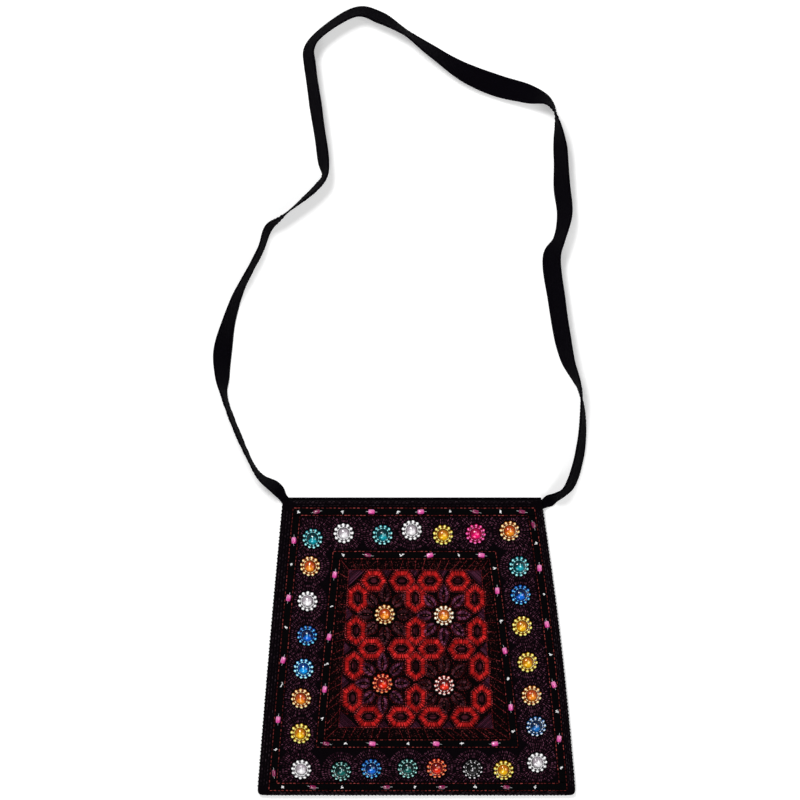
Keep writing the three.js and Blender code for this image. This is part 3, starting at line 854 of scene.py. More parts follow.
class StrapForm:
    """The strap's centreline, its frame at each station and its rings of points."""

    def __init__(self, scene):
        shape = BagShape(scene)
        s = scene.strap_sizes
        route = np.array(STRAP_ROUTE, float)
        middle = np.array([scene.bag_sizes.top_shift, shape.top])
        line = curve_through(route[:, :2] * MM + middle, STRAP_STEPS)
        index = np.arange(len(line)) / STRAP_STEPS
        roll = np.radians(np.interp(index, np.arange(len(route)), route[:, 2]))
        soft = np.hanning(STRAP_STEPS + 3)[1:-1]
        padded = np.pad(roll, len(soft) // 2, mode="edge")
        self.roll = np.convolve(padded, soft / soft.sum(), mode="same")[len(soft) // 2 : -(len(soft) // 2)]
        steps = np.linalg.norm(np.diff(line, axis=0), axis=1)
        self.along = np.concatenate([[0], np.cumsum(steps)])
        tangent = unit(np.gradient(line, self.along, axis=0))
        self.left = np.stack([-tangent[:, 1], tangent[:, 0], np.zeros(len(line))], axis=1)
        self.up = np.array([0.0, 0.0, 1.0])
        from_end = np.minimum(self.along, self.along[-1] - self.along)
        out = smoothstep(from_end, s.spread_from, s.spread_to)
        self.half_width = (s.end_width + (s.width - s.end_width) * out) / 2
        self.half_thick = s.thickness / 2 * np.ones(len(line))
        sine, cosine = np.abs(np.sin(self.roll)), np.abs(np.cos(self.roll))
        resting = self.half_width * sine + self.half_thick * cosine + WRINKLE_DEPTH * out
        inside = shape.seam + self.half_thick
        height = np.maximum(resting, inside + (resting - inside) * out)
        self.out = out
        self.centre = at_level(line, height)
        self.wide = self.left * np.cos(self.roll)[:, None] + self.up * np.sin(self.roll)[:, None]
        self.thick = -self.left * np.sin(self.roll)[:, None] + self.up * np.cos(self.roll)[:, None]

    def wrinkle(self, along, across):
        """How far the band's face stands off its middle plane."""
        long_wave = np.sin(along / 9.5e-3 + 1.1 * np.sin(along / 31e-3) + 1.4 * across)
        short_wave = np.sin(along / 3.7e-3 + 2.0 * np.sin(along / 17e-3) - 0.9 * across)
        return WRINKLE_DEPTH * (0.6 * long_wave * np.abs(across) + 0.22 * short_wave * (1 - 0.5 * across**2))

    def at(self, station, across, above):
        """Points of the band: shares across its width, and heights above its middle in half thicknesses."""
        station = np.asarray(station)
        wrinkle = self.wrinkle(self.along[station], across) * self.out[station]
        offset = self.half_thick[station] * above + wrinkle
        sideways = (self.half_width[station] * across)[..., None] * self.wide[station]
        return self.centre[station] + sideways + offset[..., None] * self.thick[station]


class BAG_OT_strap(Maker, bpy.types.Operator):
    """Makes the long flat strap and the stitches along its edges"""

    bl_idname = "bag.strap"
    bl_label = "Strap"

    def make(self, scene):
        form = StrapForm(scene)
        angles = TURN * np.arange(STRAP_AROUND) / STRAP_AROUND
        power = 2 / STRAP_SQUARENESS
        across = np.sign(np.cos(angles)) * np.abs(np.cos(angles)) ** power
        above = np.sign(np.sin(angles)) * np.abs(np.sin(angles)) ** power
        stations = np.arange(len(form.centre))[:, None]
        rings = form.at(stations, across[None, :], above[None, :])
        points, faces = tubes(rings[None])
        finish = cloth_finish("strap_cotton", scene.bag_colours.strap, 0.9 * MM, 2.6)
        strap = link("strap_band", mesh_of("strap_band", points, faces), finish)
        keep(strap, "strap_cloth", "strap")
        seams = self.add_seams(scene, form)

    def add_seams(self, scene, form):
        """A row of black running stitches inside each edge, on both faces."""
        count = int(form.along[-1] / SEAM_PITCH) - 2 * SEAM_LEFT_OUT
        middles = (np.arange(count) + SEAM_LEFT_OUT + 0.5) * SEAM_PITCH
        pairs = []
        normals = []
        for across in (-SEAM_PLACE, SEAM_PLACE):
            for face in (-1, 1):
                reaches = (-SEAM_REACH * SEAM_PITCH, SEAM_REACH * SEAM_PITCH)
                ends = [np.searchsorted(form.along, middles + reach) for reach in reaches]
                shares = np.full(count, across)
                pairs.append([form.at(e, shares, np.full(count, face * 1.0)) for e in ends])
                normals.append(form.thick[ends[0]] * face)
        starts, stops = gathered(pairs)
        finish = thread(scene, "strap_thread")
        faces = np.concatenate(normals)
        return stitch_piece("strap_seams", starts, stops, SEAM_RADIUS, finish, "strap_cloth", 3, faces)


# Panels

# Distances from a panel's rim of its first lines of points, and the room to the even lines inside them
RIM_STEPS = np.array([0.0, 0.15, 0.4, 0.8, 1.3, 2.1, 3.2, 4.6, 6.2]) * MM
RIM_ROOM = 1.6 * MM

# Each panel's even lines across and up, and the radius of its rounded rim as a share of its thickness
FRONT_GRID = (120, 110)
BACK_GRID = (60, 56)
FRONT_ROUNDING = 0.46
BACK_ROUNDING = 0.45

# The overcast side seam: its pitch, how far its stitches lean, their thread, and how high up each panel's
# edge they start and stop
OVERCAST_PITCH = 3.4 * MM
OVERCAST_LEAN = 1.2 * MM
OVERCAST_RADIUS = 0.4 * MM
OVERCAST_FROM = 0.6
OVERCAST_TO = 0.7


def panel_grid(shape, top, columns, rows):
    """Plan points of a panel, close together at its rim, and each point's distance from the rim."""
    radius = shape.sizes.corner_radius
    rim_width = RIM_STEPS[-1] + RIM_ROOM
    middle_rows = np.linspace(shape.bottom + rim_width, top - rim_width, rows)
    y = np.concatenate([shape.bottom + RIM_STEPS, middle_rows, (top - RIM_STEPS)[::-1]])[:, None]
    left = shape.edge(y, -1)
    right = shape.edge(y, 1)
    shares = np.linspace(0, 1, columns)
    inner = left + rim_width + (right - left - 2 * rim_width) * shares
    x = np.concatenate([left + RIM_STEPS, inner, (right - RIM_STEPS)[:, ::-1]], axis=1)
    y = np.broadcast_to(y, x.shape)
    from_side = np.minimum(x - left, right - x)
    rim = np.minimum(from_side, np.minimum(y - shape.bottom, top - y))
    a = radius - from_side
    b = radius - (y - shape.bottom)
    corner = (a > 0) & (b > 0)
    pull = np.where(corner, np.maximum(a, b) / np.maximum(np.hypot(a, b), 1e-9), 1)
    side = np.where(x < 0, -1, 1)
    edge = np.where(x < 0, left, right)
    x = np.where(corner, edge - side * (radius - a * pull), x)
    y = np.where(corner, shape.bottom + radius - b * pull, y)
    return np.stack([x, y], axis=-1), rim


def rounding(rim, radius):
    """How far a rounded edge falls away near the rim."""
    share = np.clip(1 - rim / radius, 0, 1)
    return radius * (1 - np.sqrt(1 - share**2))


class BAG_OT_panels(Maker, bpy.types.Operator):
    """Makes the front and back panels and the seam that joins them"""

    bl_idname = "bag.panels"
    bl_label = "Panels"

    def make(self, scene):
        shape = BagShape(scene)
        s = scene.bag_sizes
        finish = cloth_finish("panel_cotton", scene.bag_colours.cloth, 0.8 * MM, 2.2)
        self.add_back(scene, shape, finish)
        plan, rim = panel_grid(shape, shape.front_mouth, *FRONT_GRID)
        fall = rounding(rim, s.front_thickness * FRONT_ROUNDING)
        high = on(shape.cloth, plan)
        high[..., 2] -= fall
        low = on(shape.underside, plan)
        low[..., 2] += fall
        front = link("front_cloth", mesh_of("front_cloth", *slab(low, high)), finish)
        keep(front, "embroidered_cloth", "front_panel")
        seam = self.add_seam(scene, shape)

    def add_back(self, scene, shape, finish):
        s = scene.bag_sizes
        plan, rim = panel_grid(shape, shape.top, *BACK_GRID)
        fall = rounding(rim, s.back_thickness * BACK_ROUNDING)
        faces = slab(at_level(plan, fall), at_level(plan, s.back_thickness - fall))
        back = link("back_cloth", mesh_of("back_cloth", *faces), finish)
        keep(back, "black_cloth", "back_panel")

    def add_seam(self, scene, shape):
        """Overcast stitches that join the panels round their sides and bottom."""
        s = scene.bag_sizes
        random = np.random.default_rng(11)
        edge = {side: 0.1 * MM for side in SIDES}
        pairs = []
        normals = []
        for side, outwards in (("left", (-1, 0, 0)), ("right", (1, 0, 0)), ("bottom", (0, -1, 0))):
            line = shape.inset_side(edge, side)
            away = s.corner_radius / np.linalg.norm(line[-1] - line[0])
            kept = line[int(away * len(line)) + 1 : -int(away * len(line)) - 1]
            starts, stops = dashes(kept, OVERCAST_PITCH, OVERCAST_LEAN, random)
            low = at_level(starts, s.back_thickness * OVERCAST_FROM)
            high = at_level(stops, shape.seam + s.front_thickness * OVERCAST_TO)
            pairs.append([low, high])
            normals.append(np.tile(outwards, (len(starts), 1)))
        starts, stops = gathered(pairs)
        finish = thread(scene, "seam_thread")
        faces = np.concatenate(normals)
        return stitch_piece("side_seam", starts, stops, OVERCAST_RADIUS, finish, "black_cloth", 5, faces)


# The linings: their thickness, the room under and over them, and the height of their ripples
LINING_THICKNESS = 0.35 * MM
LINING_OVER_SEAM = 0.15 * MM
LINING_UNDER_FRONT = 0.75 * MM
LINING_RIPPLE = 0.12
LINING_POINTS = 60


class BAG_OT_linings(Maker, bpy.types.Operator):
    """Makes the two linings inside the bag"""

    bl_idname = "bag.linings"
    bl_label = "Linings"

    def make(self, scene):
        shape = BagShape(scene)
        finish = cloth_finish("lining_cotton", scene.bag_colours.lining, 0.5 * MM, 1.5)
        for node in ("lining_back", "lining_front"):
            low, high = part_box(node)
            insets = {
                "left": low.x - float(shape.edge(low.y, -1)),
                "right": float(shape.edge(low.y, 1)) - high.x,
                "top": shape.top - high.y,
                "bottom": low.y - shape.bottom,
            }
            shares = np.linspace(0, 1, LINING_POINTS)
            plan = shape.inset_point(insets, shares[None, :], shares[::-1, None])
            x, y = plan[..., 0], plan[..., 1]
            ripple = np.sin(x / 9e-3 + 2 * np.sin(y / 25e-3)) * LINING_RIPPLE * MM
            if node == "lining_back":
                level = shape.seam + LINING_OVER_SEAM
            else:
                level = shape.underside(x, y) - LINING_UNDER_FRONT
            under = at_level(plan, level + ripple)
            over = under + np.array([0, 0, LINING_THICKNESS])
            piece = link(f"{node}_cloth", mesh_of(node, *slab(under, over)), finish)
            keep(piece, "lining_cloth", node)
            width = high.x - low.x
            top_width = width - taper(shape, low.y, high.y)


def taper(shape, low, high):
    """How much narrower the bag is at one height than at a lower one."""
    wide, narrow = (shape.edge(y, 1) - shape.edge(y, -1) for y in (low, high))
    return float(wide - narrow)


# Ribbons and running stitches

# A ribbon's lines of points, as shares of its width, and how high its face stands at each
RIBBON_ACROSS = np.array([0, 0.02, 0.06, 0.14, 0.3, 0.5, 0.7, 0.86, 0.94, 0.98, 1])
RIBBON_CROWN = np.sqrt(1 - np.abs(2 * RIBBON_ACROSS - 1) ** 6)
RIBBON_POINTS = 150
RIBBON_RIPPLE = 0.07 * MM
RIBBON_EDGE = 0.5 * MM
RIBBON_SINK = 0.05 * MM


class BAG_OT_ribbons(Maker, bpy.types.Operator):
    """Makes the eight ribbon strips"""

    bl_idname = "bag.ribbons"
    bl_label = "Ribbons"

    def make(self, scene):
        shape = BagShape(scene)
        trim = scene.trim_sizes
        finish = ribbon_finish(scene.bag_colours.ribbon)
        across, crown = RIBBON_ACROSS[:, None], RIBBON_CROWN[:, None]
        random = np.random.default_rng(21)
        for frame_name, insets in shape.ribbons.items():
            for side in SIDES:
                start, stop = self.ends(shape, insets, side)
                along = np.linspace(start, stop, RIBBON_POINTS)[None, :]
                plan = self.strip(shape, insets, side, along, across)
                edge = shape.panel_face(plan[..., 0], plan[..., 1]) + RIBBON_EDGE
                ripple = RIBBON_RIPPLE * np.sin(along * 40 + random.uniform(0, TURN) + 2 * across)
                low = at_level(plan, edge - RIBBON_SINK)
                high = at_level(plan, edge + (trim.ribbon_top - RIBBON_EDGE) * crown + ripple * crown)
                if side in ("left", "right"):
                    low, high = low[:, ::-1].transpose(1, 0, 2), high[:, ::-1].transpose(1, 0, 2)
                name = f"{frame_name}_ribbon_{side}"
                piece = link(f"{name}_band", mesh_of(name, *slab(low, high)), finish)
                keep(piece, "ribbon", name)

    def ends(self, shape, insets, side):
        """Shares of the frame where a strip starts and stops: side strips end at the level ones."""
        if side in ("top", "bottom"):
            return 0.0, 1.0
        high = shape.top - insets["top"]
        low = shape.bottom + insets["bottom"]
        step = (shape.trim.ribbon_width + shape.sizes.gap) / (high - low)
        return step, 1 - step

    def strip(self, shape, insets, side, along, across):
        """Plan points of a strip by shares along it and across it, the way that both grow with x and y."""
        width = shape.trim.ribbon_width
        tall = 2 * shape.top - insets["top"] - insets["bottom"]
        if side == "top":
            return shape.inset_point(insets, along, (1 - across) * width / tall)
        if side == "bottom":
            return shape.inset_point(insets, along, 1 - across * width / tall)
        plan = shape.inset_point(insets, 0.0 if side == "left" else 1.0, along)
        shift = across * width if side == "left" else (across - 1) * width
        return np.stack(np.broadcast_arrays(plan[..., 0] + shift, plan[..., 1]), axis=-1)


# How far a running stitch lies in from a ribbon's edge, where the margin's rows lie as shares of its width,
# and how near they come to the mouth
ROW_INSET = 0.35 * MM
MARGIN_ROWS = (0.26, 0.52, 0.78)
MOUTH_INSET = 3.3 * MM


class BAG_OT_running_stitches(Maker, bpy.types.Operator):
    """Makes the running stitches along the ribbons, round the medallion and in the outer margin"""

    bl_idname = "bag.running_stitches"
    bl_label = "Running stitches"

    def make(self, scene):
        shape = BagShape(scene)
        trim = scene.trim_sizes
        red = thread(scene, "red_thread")
        grey = thread(scene, "margin_thread")
        for order, (frame_name, insets) in enumerate(shape.ribbons.items()):
            random = np.random.default_rng(31 + order)
            pairs = []
            for inset in (ROW_INSET, trim.ribbon_width - ROW_INSET):
                for side in SIDES:
                    line = shape.inset_side(grown(insets, inset), side)
                    pairs.append(dashes(line, trim.stitch_pitch, trim.stitch_length, random))
            starts, stops = (on(shape.ribbon_face, plan) for plan in gathered(pairs))
            name = f"{frame_name}_ribbon_stitches"
            stitch_piece(name, starts, stops, trim.thread_radius, red, "ribbon", 41 + order)
        random = np.random.default_rng(51)
        pairs = []
        for share in MARGIN_ROWS:
            insets = {side: inset * share for side, inset in shape.ribbons["outer"].items()}
            insets["top"] = max(insets["top"], MOUTH_INSET + share * MM)
            for side in SIDES:
                line = shape.inset_side(insets, side)[1:-1]
                pairs.append(dashes(line, trim.stitch_pitch, trim.stitch_length, random))
        starts, stops = (on(shape.cloth, plan) for plan in gathered(pairs))
        stitch_piece("margin_stitches", starts, stops, trim.thread_radius, grey, "embroidered_cloth", 52)


# Rosettes round the studs

# Rings of stitches as distances in millimetres from the stud's middle; the outermost lies in the band's
# outer half alone
ROSETTE_RINGS = [(9.9, 12.1), (12.7, 14.9), (15.5, 17.7), (18.3, 20.5)]
ROSETTE_REACH = 17.9 * MM
ROSETTE_PITCH = 1.7 * MM
ROSETTE_RADIUS = 0.38 * MM
BAND_HALF = 16 * MM
BAND_ROOM = 0.5 * MM

# How far its stitches stray: their angle as a share of a step, their bend and their ends in millimetres
ANGLE_STRAY = 0.22
BEND_STRAY = 0.4
END_STRAY = 0.3


def stud_centres(side):
    """Plan centres of one side's studs, from the frame."""
    names = [name for name in frame["nodes"] if name.startswith(f"stud_{side}_")]
    names.sort(key=lambda name: int(name.rsplit("_", 1)[1]))
    corners = [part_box(name) for name in names]
    return names, np.array([[(a.x + b.x) / 2, (a.y + b.y) / 2] for a, b in corners])


class BAG_OT_rosettes(Maker, bpy.types.Operator):
    """Makes the rings of short radial stitches round the studs of the band"""

    bl_idname = "bag.rosettes"
    bl_label = "Rosettes"

    def make(self, scene):
        shape = BagShape(scene)
        finish = thread(scene, "plum_thread")
        centres = {side: stud_centres(side)[1] for side in SIDES}
        everyone = np.concatenate(list(centres.values()))
        for order, side in enumerate(SIDES):
            random = np.random.default_rng(61 + order)
            pairs = [self.rosette(shape, centre, everyone, random) for centre in centres[side]]
            starts, stops = (on(shape.cloth, plan) for plan in gathered(pairs))
            name = f"rosettes_{side}"
            stitch_piece(name, starts, stops, ROSETTE_RADIUS, finish, "embroidered_cloth", 71 + order)

    def rosette(self, shape, centre, everyone, random):
        """One stud's stitches that stay in the band and nearer to it than to any other stud."""
        starts, stops = [], []
        for near, far in ROSETTE_RINGS:
            near, far = near * MM, far * MM
            count = int(TURN * (near + far) / 2 / ROSETTE_PITCH)
            angles = TURN * (np.arange(count) + random.uniform(-ANGLE_STRAY, ANGLE_STRAY, count)) / count
            way = heading(angles)
            bend = random.uniform(-BEND_STRAY, BEND_STRAY, (count, 1))
            bend = np.stack([-way[:, 1], way[:, 0]], axis=1) * bend * MM
            inner, outer = (
                edge + random.uniform(-END_STRAY, END_STRAY, (count, 1)) * MM for edge in (near, far)
            )
            starts.append(centre + way * inner)
            stops.append(centre + way * outer + bend)
        starts, stops = np.concatenate(starts), np.concatenate(stops)
        middle = (starts + stops) / 2
        away = np.linalg.norm(middle[:, None] - everyone[None], axis=2)
        own = np.linalg.norm(middle - centre, axis=1)
        nearest = own <= away.min(axis=1) + 1e-9
        outward = ~self.inside(shape, grown(shape.band_outside, BAND_HALF), middle)
        kept = nearest & (outward | (own < ROSETTE_REACH))
        kept &= self.in_band(shape, starts) & self.in_band(shape, stops)
        return starts[kept], stops[kept]

    def inside(self, shape, insets, plan):
        """Whether plan points lie inside an inset frame."""
        x, y = plan[:, 0], plan[:, 1]
        level = (y > shape.bottom + insets["bottom"]) & (y < shape.top - insets["top"])
        return level & (x > shape.edge(y, -1) + insets["left"]) & (x < shape.edge(y, 1) - insets["right"])

    def in_band(self, shape, plan):
        """Whether plan points lie between the two ribbon frames."""
        near = self.inside(shape, grown(shape.band_outside, BAND_ROOM), plan)
        return near & ~self.inside(shape, grown(shape.ribbons["inner"], -BAND_ROOM), plan)


# Medallion

# Corners of the embroidered medallion in millimetres: top left, top right, bottom left and bottom right
MEDALLION_CORNERS = ((-61.6, 70.3), (58.9, 69.9), (-70.8, -73), (69.7, -74))
MEAN_MEDALLION_WIDTH = 130 * MM

# The medallion's cloth: its points each way, its ripple, how far its face lies under the stitches, and how
# far its underside stands off the panel
PATCH_POINTS = 90
PATCH_RIPPLE = 0.06 * MM
PATCH_SINK = 0.1 * MM
PATCH_STAND_OFF = 0.5 * MM

# Places of the hexagons as shares of the medallion: the rows of level ones, the columns of upright ones,
# and their places along each
ROWS = [0.07, 0.5, 0.93]
ROW_PLACES = [0.192, 0.402, 0.611, 0.82]
COLUMNS = [0.08, 0.502, 0.938]
COLUMN_PLACES = [0.18, 0.387, 0.61, 0.813]

# A hexagon's outer half length and half width and its hole's, in millimetres
LEVEL_HEXAGON = {"reach": 12.1, "half": 9.1, "hole_reach": 7.6, "hole_half": 4.7}
UPRIGHT_HEXAGON = {"reach": 13.0, "half": 8.7, "hole_reach": 8.0, "hole_half": 4.6}
HEXAGON_CORNERS = [(1, 0), (0.5, 1), (-0.5, 1), (-1, 0), (-0.5, -1), (0.5, -1), (1, 0)]

# Its satin stitches and their stray in millimetres; how far outside and inside the satin its outlines lie,
# and the stitches to each; and the rows of stitches in its hole, as shares of the hole's half width
SATIN_STITCHES = 50
SATIN_STRAY = 0.12
OUTLINES = ((0.8 * MM, 36), (-0.8 * MM, 20))
HOLE_ROWS = np.linspace(-0.32, 0.32, 4)

# A flower's petals: their kinds from the right round, how far each kind reaches in millimetres, where all
# start, and the half widths of a petal and of the slit in its middle
PETALS = 8
PETAL_KINDS = ("level", "diagonal", "upright", "diagonal")
PETAL_REACH = {"upright": 27.8, "level": 24.6, "diagonal": 26.2}
PLUM_FLOWERS = (1, 2)
PETAL_START = 11 * MM
PETAL_HALF_WIDTH = 4.5 * MM
SLIT_HALF_WIDTH = 1.3 * MM
SLIT_LEAST = 0.1 * MM

# Satin stitches to a petal's half, the first and last place of their inner ends as shares of its length, and
# how much further along their outer ends lie
PETAL_STITCHES = 10
PETAL_PLACES = (0.05, 0.93)
PETAL_SLANT = 0.11

# Fine stitches outside a petal's edge, with the places along it between which they run, and the two pale
# specks on its middle line
EDGE_PLACES = (0.02, 1.06)
EDGE_POINTS = 14
EDGE_OUTSIDE = 0.7 * MM
EDGE_PITCH = 2.0 * MM
EDGE_DASH = 1.3 * MM
SPECKS = np.array([14.4, 17.2]) * MM
SPECK_LENGTH = 1.6 * MM

# Hatched triangles along the medallion's edge, as shares of it: the size of those at its corners, and the
# places, depth and half length of those at its sides and at its top and bottom
CORNER_SIZE = (0.13, 0.11)
SIDE_PLACES = (0.282, 0.5, 0.712)
SIDE_SIZE = (0.055, 0.045)
LEVEL_PLACES = (0.29, 0.5, 0.71)
LEVEL_SIZE = (0.05, 0.04)
HATCH_PITCH = 1.45 * MM

# The border round the medallion: points on its lines, its ties to a side, how far they lean in points, their
# stitches, and the seeds strewn in it. Half lengths of seeds are in millimetres.
BORDER_ROOM = 0.9 * MM
BORDER_POINTS = 400
TIES = 19
TIE_LEAN = (2, 16)
TIE_PITCH = 2.6 * MM
TIE_DASH = 2.2 * MM
RIM_DASH = 2.1 * MM
BORDER_SEEDS = 1300
BORDER_DEPTH = (0.12, 0.9)
BORDER_SEED_HALF = 0.45

# The seeds strewn over the whole medallion
GROUND_SEEDS = 2700
GROUND_SEED_HALF = 0.5

# The medallion's pieces of stitches: the thread of each, the thread's radius and the seed of its tints
EMBROIDERY = {
    "hexagon_satin": ("satin_thread", 0.56 * MM, 82),
    "hexagon_deep_satin": ("deep_satin_thread", 0.5 * MM, 85),
    "hexagon_outlines": ("outline_thread", 0.4 * MM, 83),
    "hexagon_middles": ("lens_thread", 0.4 * MM, 84),
    "plum_petals": ("plum_petals_thread", 0.54 * MM, 91),
    "maroon_petals": ("maroon_petals_thread", 0.54 * MM, 92),
    "petal_specks": ("speck_thread", 0.26 * MM, 93),
    "petal_edges": ("edge_thread", 0.26 * MM, 99),
    "corner_hatching": ("corner_thread", 0.4 * MM, 94),
    "ground_seeds": ("ground_thread", 0.26 * MM, 88),
    "border_ties": ("tie_thread", 0.26 * MM, 96),
    "border_seeds": ("seed_thread", 0.28 * MM, 97),
}


class Medallion:
    """Places on the medallion."""

    def __init__(self, scene):
        self.scene = scene
        self.shape = BagShape(scene)
        self.corners = np.array(MEDALLION_CORNERS) * MM

    def point(self, across, down):
        across, down = np.broadcast_arrays(np.asarray(across, float), np.asarray(down, float))
        across, down = across[..., None], down[..., None]
        high = self.corners[0] + (self.corners[1] - self.corners[0]) * across
        low = self.corners[2] + (self.corners[3] - self.corners[2]) * across
        return high + (low - high) * down

    def side(self, side, count):
        """The line along one side, from its left or top end."""
        shares = np.linspace(0, 1, count)
        if side in ("top", "bottom"):
            return self.point(shares, 0.0 if side == "top" else 1.0)
        return self.point(0.0 if side == "left" else 1.0, shares)

    def width(self, down):
        return float(self.point(1.0, down)[0] - self.point(0.0, down)[0])

    def hexagons(self):
        """Centre, long way (0 level, 1 upright) and stretch of each hexagon."""
        for down in ROWS:
            for across in ROW_PLACES:
                yield self.point(across, down), 0, self.width(down) / MEAN_MEDALLION_WIDTH
        for across in COLUMNS:
            for down in COLUMN_PLACES:
                yield self.point(across, down), 1, 1.0


def hexagon_outline(reach, half, count):
    """Points round a hexagon with its points at left and right, evenly spaced along its outline."""
    corners = np.array(HEXAGON_CORNERS) * np.array([reach, half])
    at = np.concatenate([[0], np.cumsum(np.linalg.norm(np.diff(corners, axis=0), axis=1))])
    places = (np.arange(count) + 0.5) / count * at[-1]
    return np.stack([np.interp(places, at, corners[:, k]) for k in (0, 1)], axis=1)


def turned(points, upright):
    """Points as they are, or turned upright."""
    return points[:, ::-1] if upright else points


def petal_width(shares):
    """A petal's half width at shares of its length."""
    return PETAL_HALF_WIDTH * np.sin(math.pi * shares**0.85) ** 0.75


def beside(centre, way, along, off):
    """Points at distances along a direction and off to its left."""
    return centre + along[:, None] * way + off[:, None] * np.array([-way[1], way[0]])


class BAG_OT_medallion(Maker, bpy.types.Operator):
    """Makes the medallion's cloth and its embroidery"""

    bl_idname = "bag.medallion"
    bl_label = "Medallion"

    def make(self, scene):
        medallion = Medallion(scene)
        self.add_patch(medallion)
        self.add_hexagons(medallion)
        self.add_flowers(medallion)
        self.add_corners(medallion)
        self.add_ground(medallion)
        self.add_truss(medallion)

    def laid(self, medallion, name, starts, stops):
        """One of the pieces of stitches, laid on the medallion's cloth."""
        finish_name, radius, seed = EMBROIDERY[name]
        finish = thread(medallion.scene, finish_name)
        starts, stops = (on(medallion.shape.patch_face, plan) for plan in (starts, stops))
        stitch_piece(name, starts, stops, radius, finish, "medallion_embroidery", seed)

    def add_patch(self, medallion):
        shape = medallion.shape
        shares = np.linspace(0, 1, PATCH_POINTS)
        insets = grown(shape.patch_edge, shape.sizes.gap)
        plan = shape.inset_point(insets, shares[None, :], shares[::-1, None])
        x, y = plan[..., 0], plan[..., 1]
        ripple = PATCH_RIPPLE * np.sin(x / 2.3e-3 + np.sin(y / 5e-3)) * np.sin(y / 2.9e-3)
        high = on(shape.patch_face, plan)
        high[..., 2] += ripple - PATCH_SINK
        low = on(shape.panel_face, plan)
        low[..., 2] += PATCH_STAND_OFF
        finish = cloth_finish("medallion_ground", medallion.scene.bag_colours.medallion, 0.7 * MM, 2.6)
        patch = link("medallion_cloth", mesh_of("medallion_cloth", *slab(low, high)), finish)
        keep(patch, "medallion_embroidery", "centre_patch")

    def add_hexagons(self, medallion):
        """Satin rings, an outline of fine stitches inside and outside each, and its filled middle."""
        random = np.random.default_rng(81)
        rings, outlines, middles = [], [], []
        for centre, upright, stretch in medallion.hexagons():
            size = UPRIGHT_HEXAGON if upright else LEVEL_HEXAGON
            outside = (size["reach"] * MM * stretch, size["half"] * MM)
            hole = np.array([size["hole_reach"] * stretch, size["hole_half"]]) * MM
            jitter = random.uniform(-SATIN_STRAY, SATIN_STRAY, (SATIN_STITCHES, 2)) * MM
            rings.append([
                centre + turned(hexagon_outline(*edge, SATIN_STITCHES) + jitter, upright)
                for edge in (outside, hole)
            ])
            for grow, steps in OUTLINES:
                edge = outside if grow > 0 else hole
                line = hexagon_outline(edge[0] + grow, edge[1] + grow, steps)
                ahead = np.roll(line, -1, axis=0)
                outlines.append((
                    centre + turned(line * 0.8 + ahead * 0.2, upright),
                    centre + turned(line * 0.25 + ahead * 0.75, upright),
                ))
            span = 0.54 - 0.7 * np.abs(HOLE_ROWS)
            middles.append([
                centre + turned(np.stack([end * hole[0], HOLE_ROWS * hole[1]], axis=1), upright)
                for end in (-span, span)
            ])
        starts, stops = gathered(rings)
        self.laid(medallion, "hexagon_satin", starts[::2], stops[::2])
        self.laid(medallion, "hexagon_deep_satin", starts[1::2], stops[1::2])
        self.laid(medallion, "hexagon_outlines", *gathered(outlines))
        self.laid(medallion, "hexagon_middles", *gathered(middles))

    def add_flowers(self, medallion):
        """Eight-petalled flowers: two slanting rows of satin stitch on each petal, open in the middle."""
        random = np.random.default_rng(98)
        petals = {True: [], False: []}
        specks, edges = [], []
        for number, centre in enumerate(stud_centres("centre")[1]):
            for k in range(PETALS):
                way = heading(TURN * k / PETALS)
                reach = PETAL_REACH[PETAL_KINDS[k % len(PETAL_KINDS)]] * MM
                petals[number in PLUM_FLOWERS].append(self.petal(centre, way, reach))
                edges += self.petal_edge(centre, way, reach, random)
                specks.append([centre + along[:, None] * way for along in (SPECKS, SPECKS + SPECK_LENGTH)])
        self.laid(medallion, "plum_petals", *gathered(petals[True]))
        self.laid(medallion, "maroon_petals", *gathered(petals[False]))
        self.laid(medallion, "petal_specks", *gathered(specks))
        self.laid(medallion, "petal_edges", *gathered(edges))

    def petal(self, centre, way, reach):
        """Slanting stitches from the slit to the edge, on both sides of a petal."""
        shares = np.linspace(*PETAL_PLACES, PETAL_STITCHES)
        edge_shares = np.clip(shares + PETAL_SLANT, 0, 1)
        slit = SLIT_HALF_WIDTH * np.sin(math.pi * np.clip(shares * 1.15, 0, 1)) + SLIT_LEAST
        ends = []
        for width, places in ((slit, shares), (petal_width(edge_shares), edge_shares)):
            along = PETAL_START + (reach - PETAL_START) * places
            ends.append(np.concatenate([beside(centre, way, along, side * width) for side in (-1, 1)]))
        return ends

    def petal_edge(self, centre, way, reach, random):
        """Fine stitches just outside both sides of a petal."""
        shares = np.linspace(*EDGE_PLACES, EDGE_POINTS)
        along = PETAL_START + (reach - PETAL_START) * shares
        width = EDGE_OUTSIDE + petal_width(np.clip(shares, 0, 1))
        lines = [beside(centre, way, along, side * width) for side in (-1, 1)]
        return [dashes(line, EDGE_PITCH, EDGE_DASH, random) for line in lines]

    def add_corners(self, medallion):
        """Hatched triangles between the hexagons along the medallion's edge."""
        triangles = []
        wide, tall = CORNER_SIZE
        depth, half = SIDE_SIZE
        for across, sign in ((0.0, 1), (1.0, -1)):
            for down, other in ((0.0, tall), (1.0, 1 - tall)):
                triangles.append([(across, down), (across + sign * wide, down), (across, other)])
            for middle in SIDE_PLACES:
                tip = (across + sign * depth, middle)
                triangles.append([(across, middle - half), tip, (across, middle + half)])
        depth, half = LEVEL_SIZE
        for down, sign in ((0.0, 1), (1.0, -1)):
            for middle in LEVEL_PLACES:
                tip = (middle, down + sign * depth)
                triangles.append([(middle - half, down), tip, (middle + half, down)])
        pairs = [self.hatching(medallion, np.array(t)) for t in triangles]
        self.laid(medallion, "corner_hatching", *gathered(pairs))

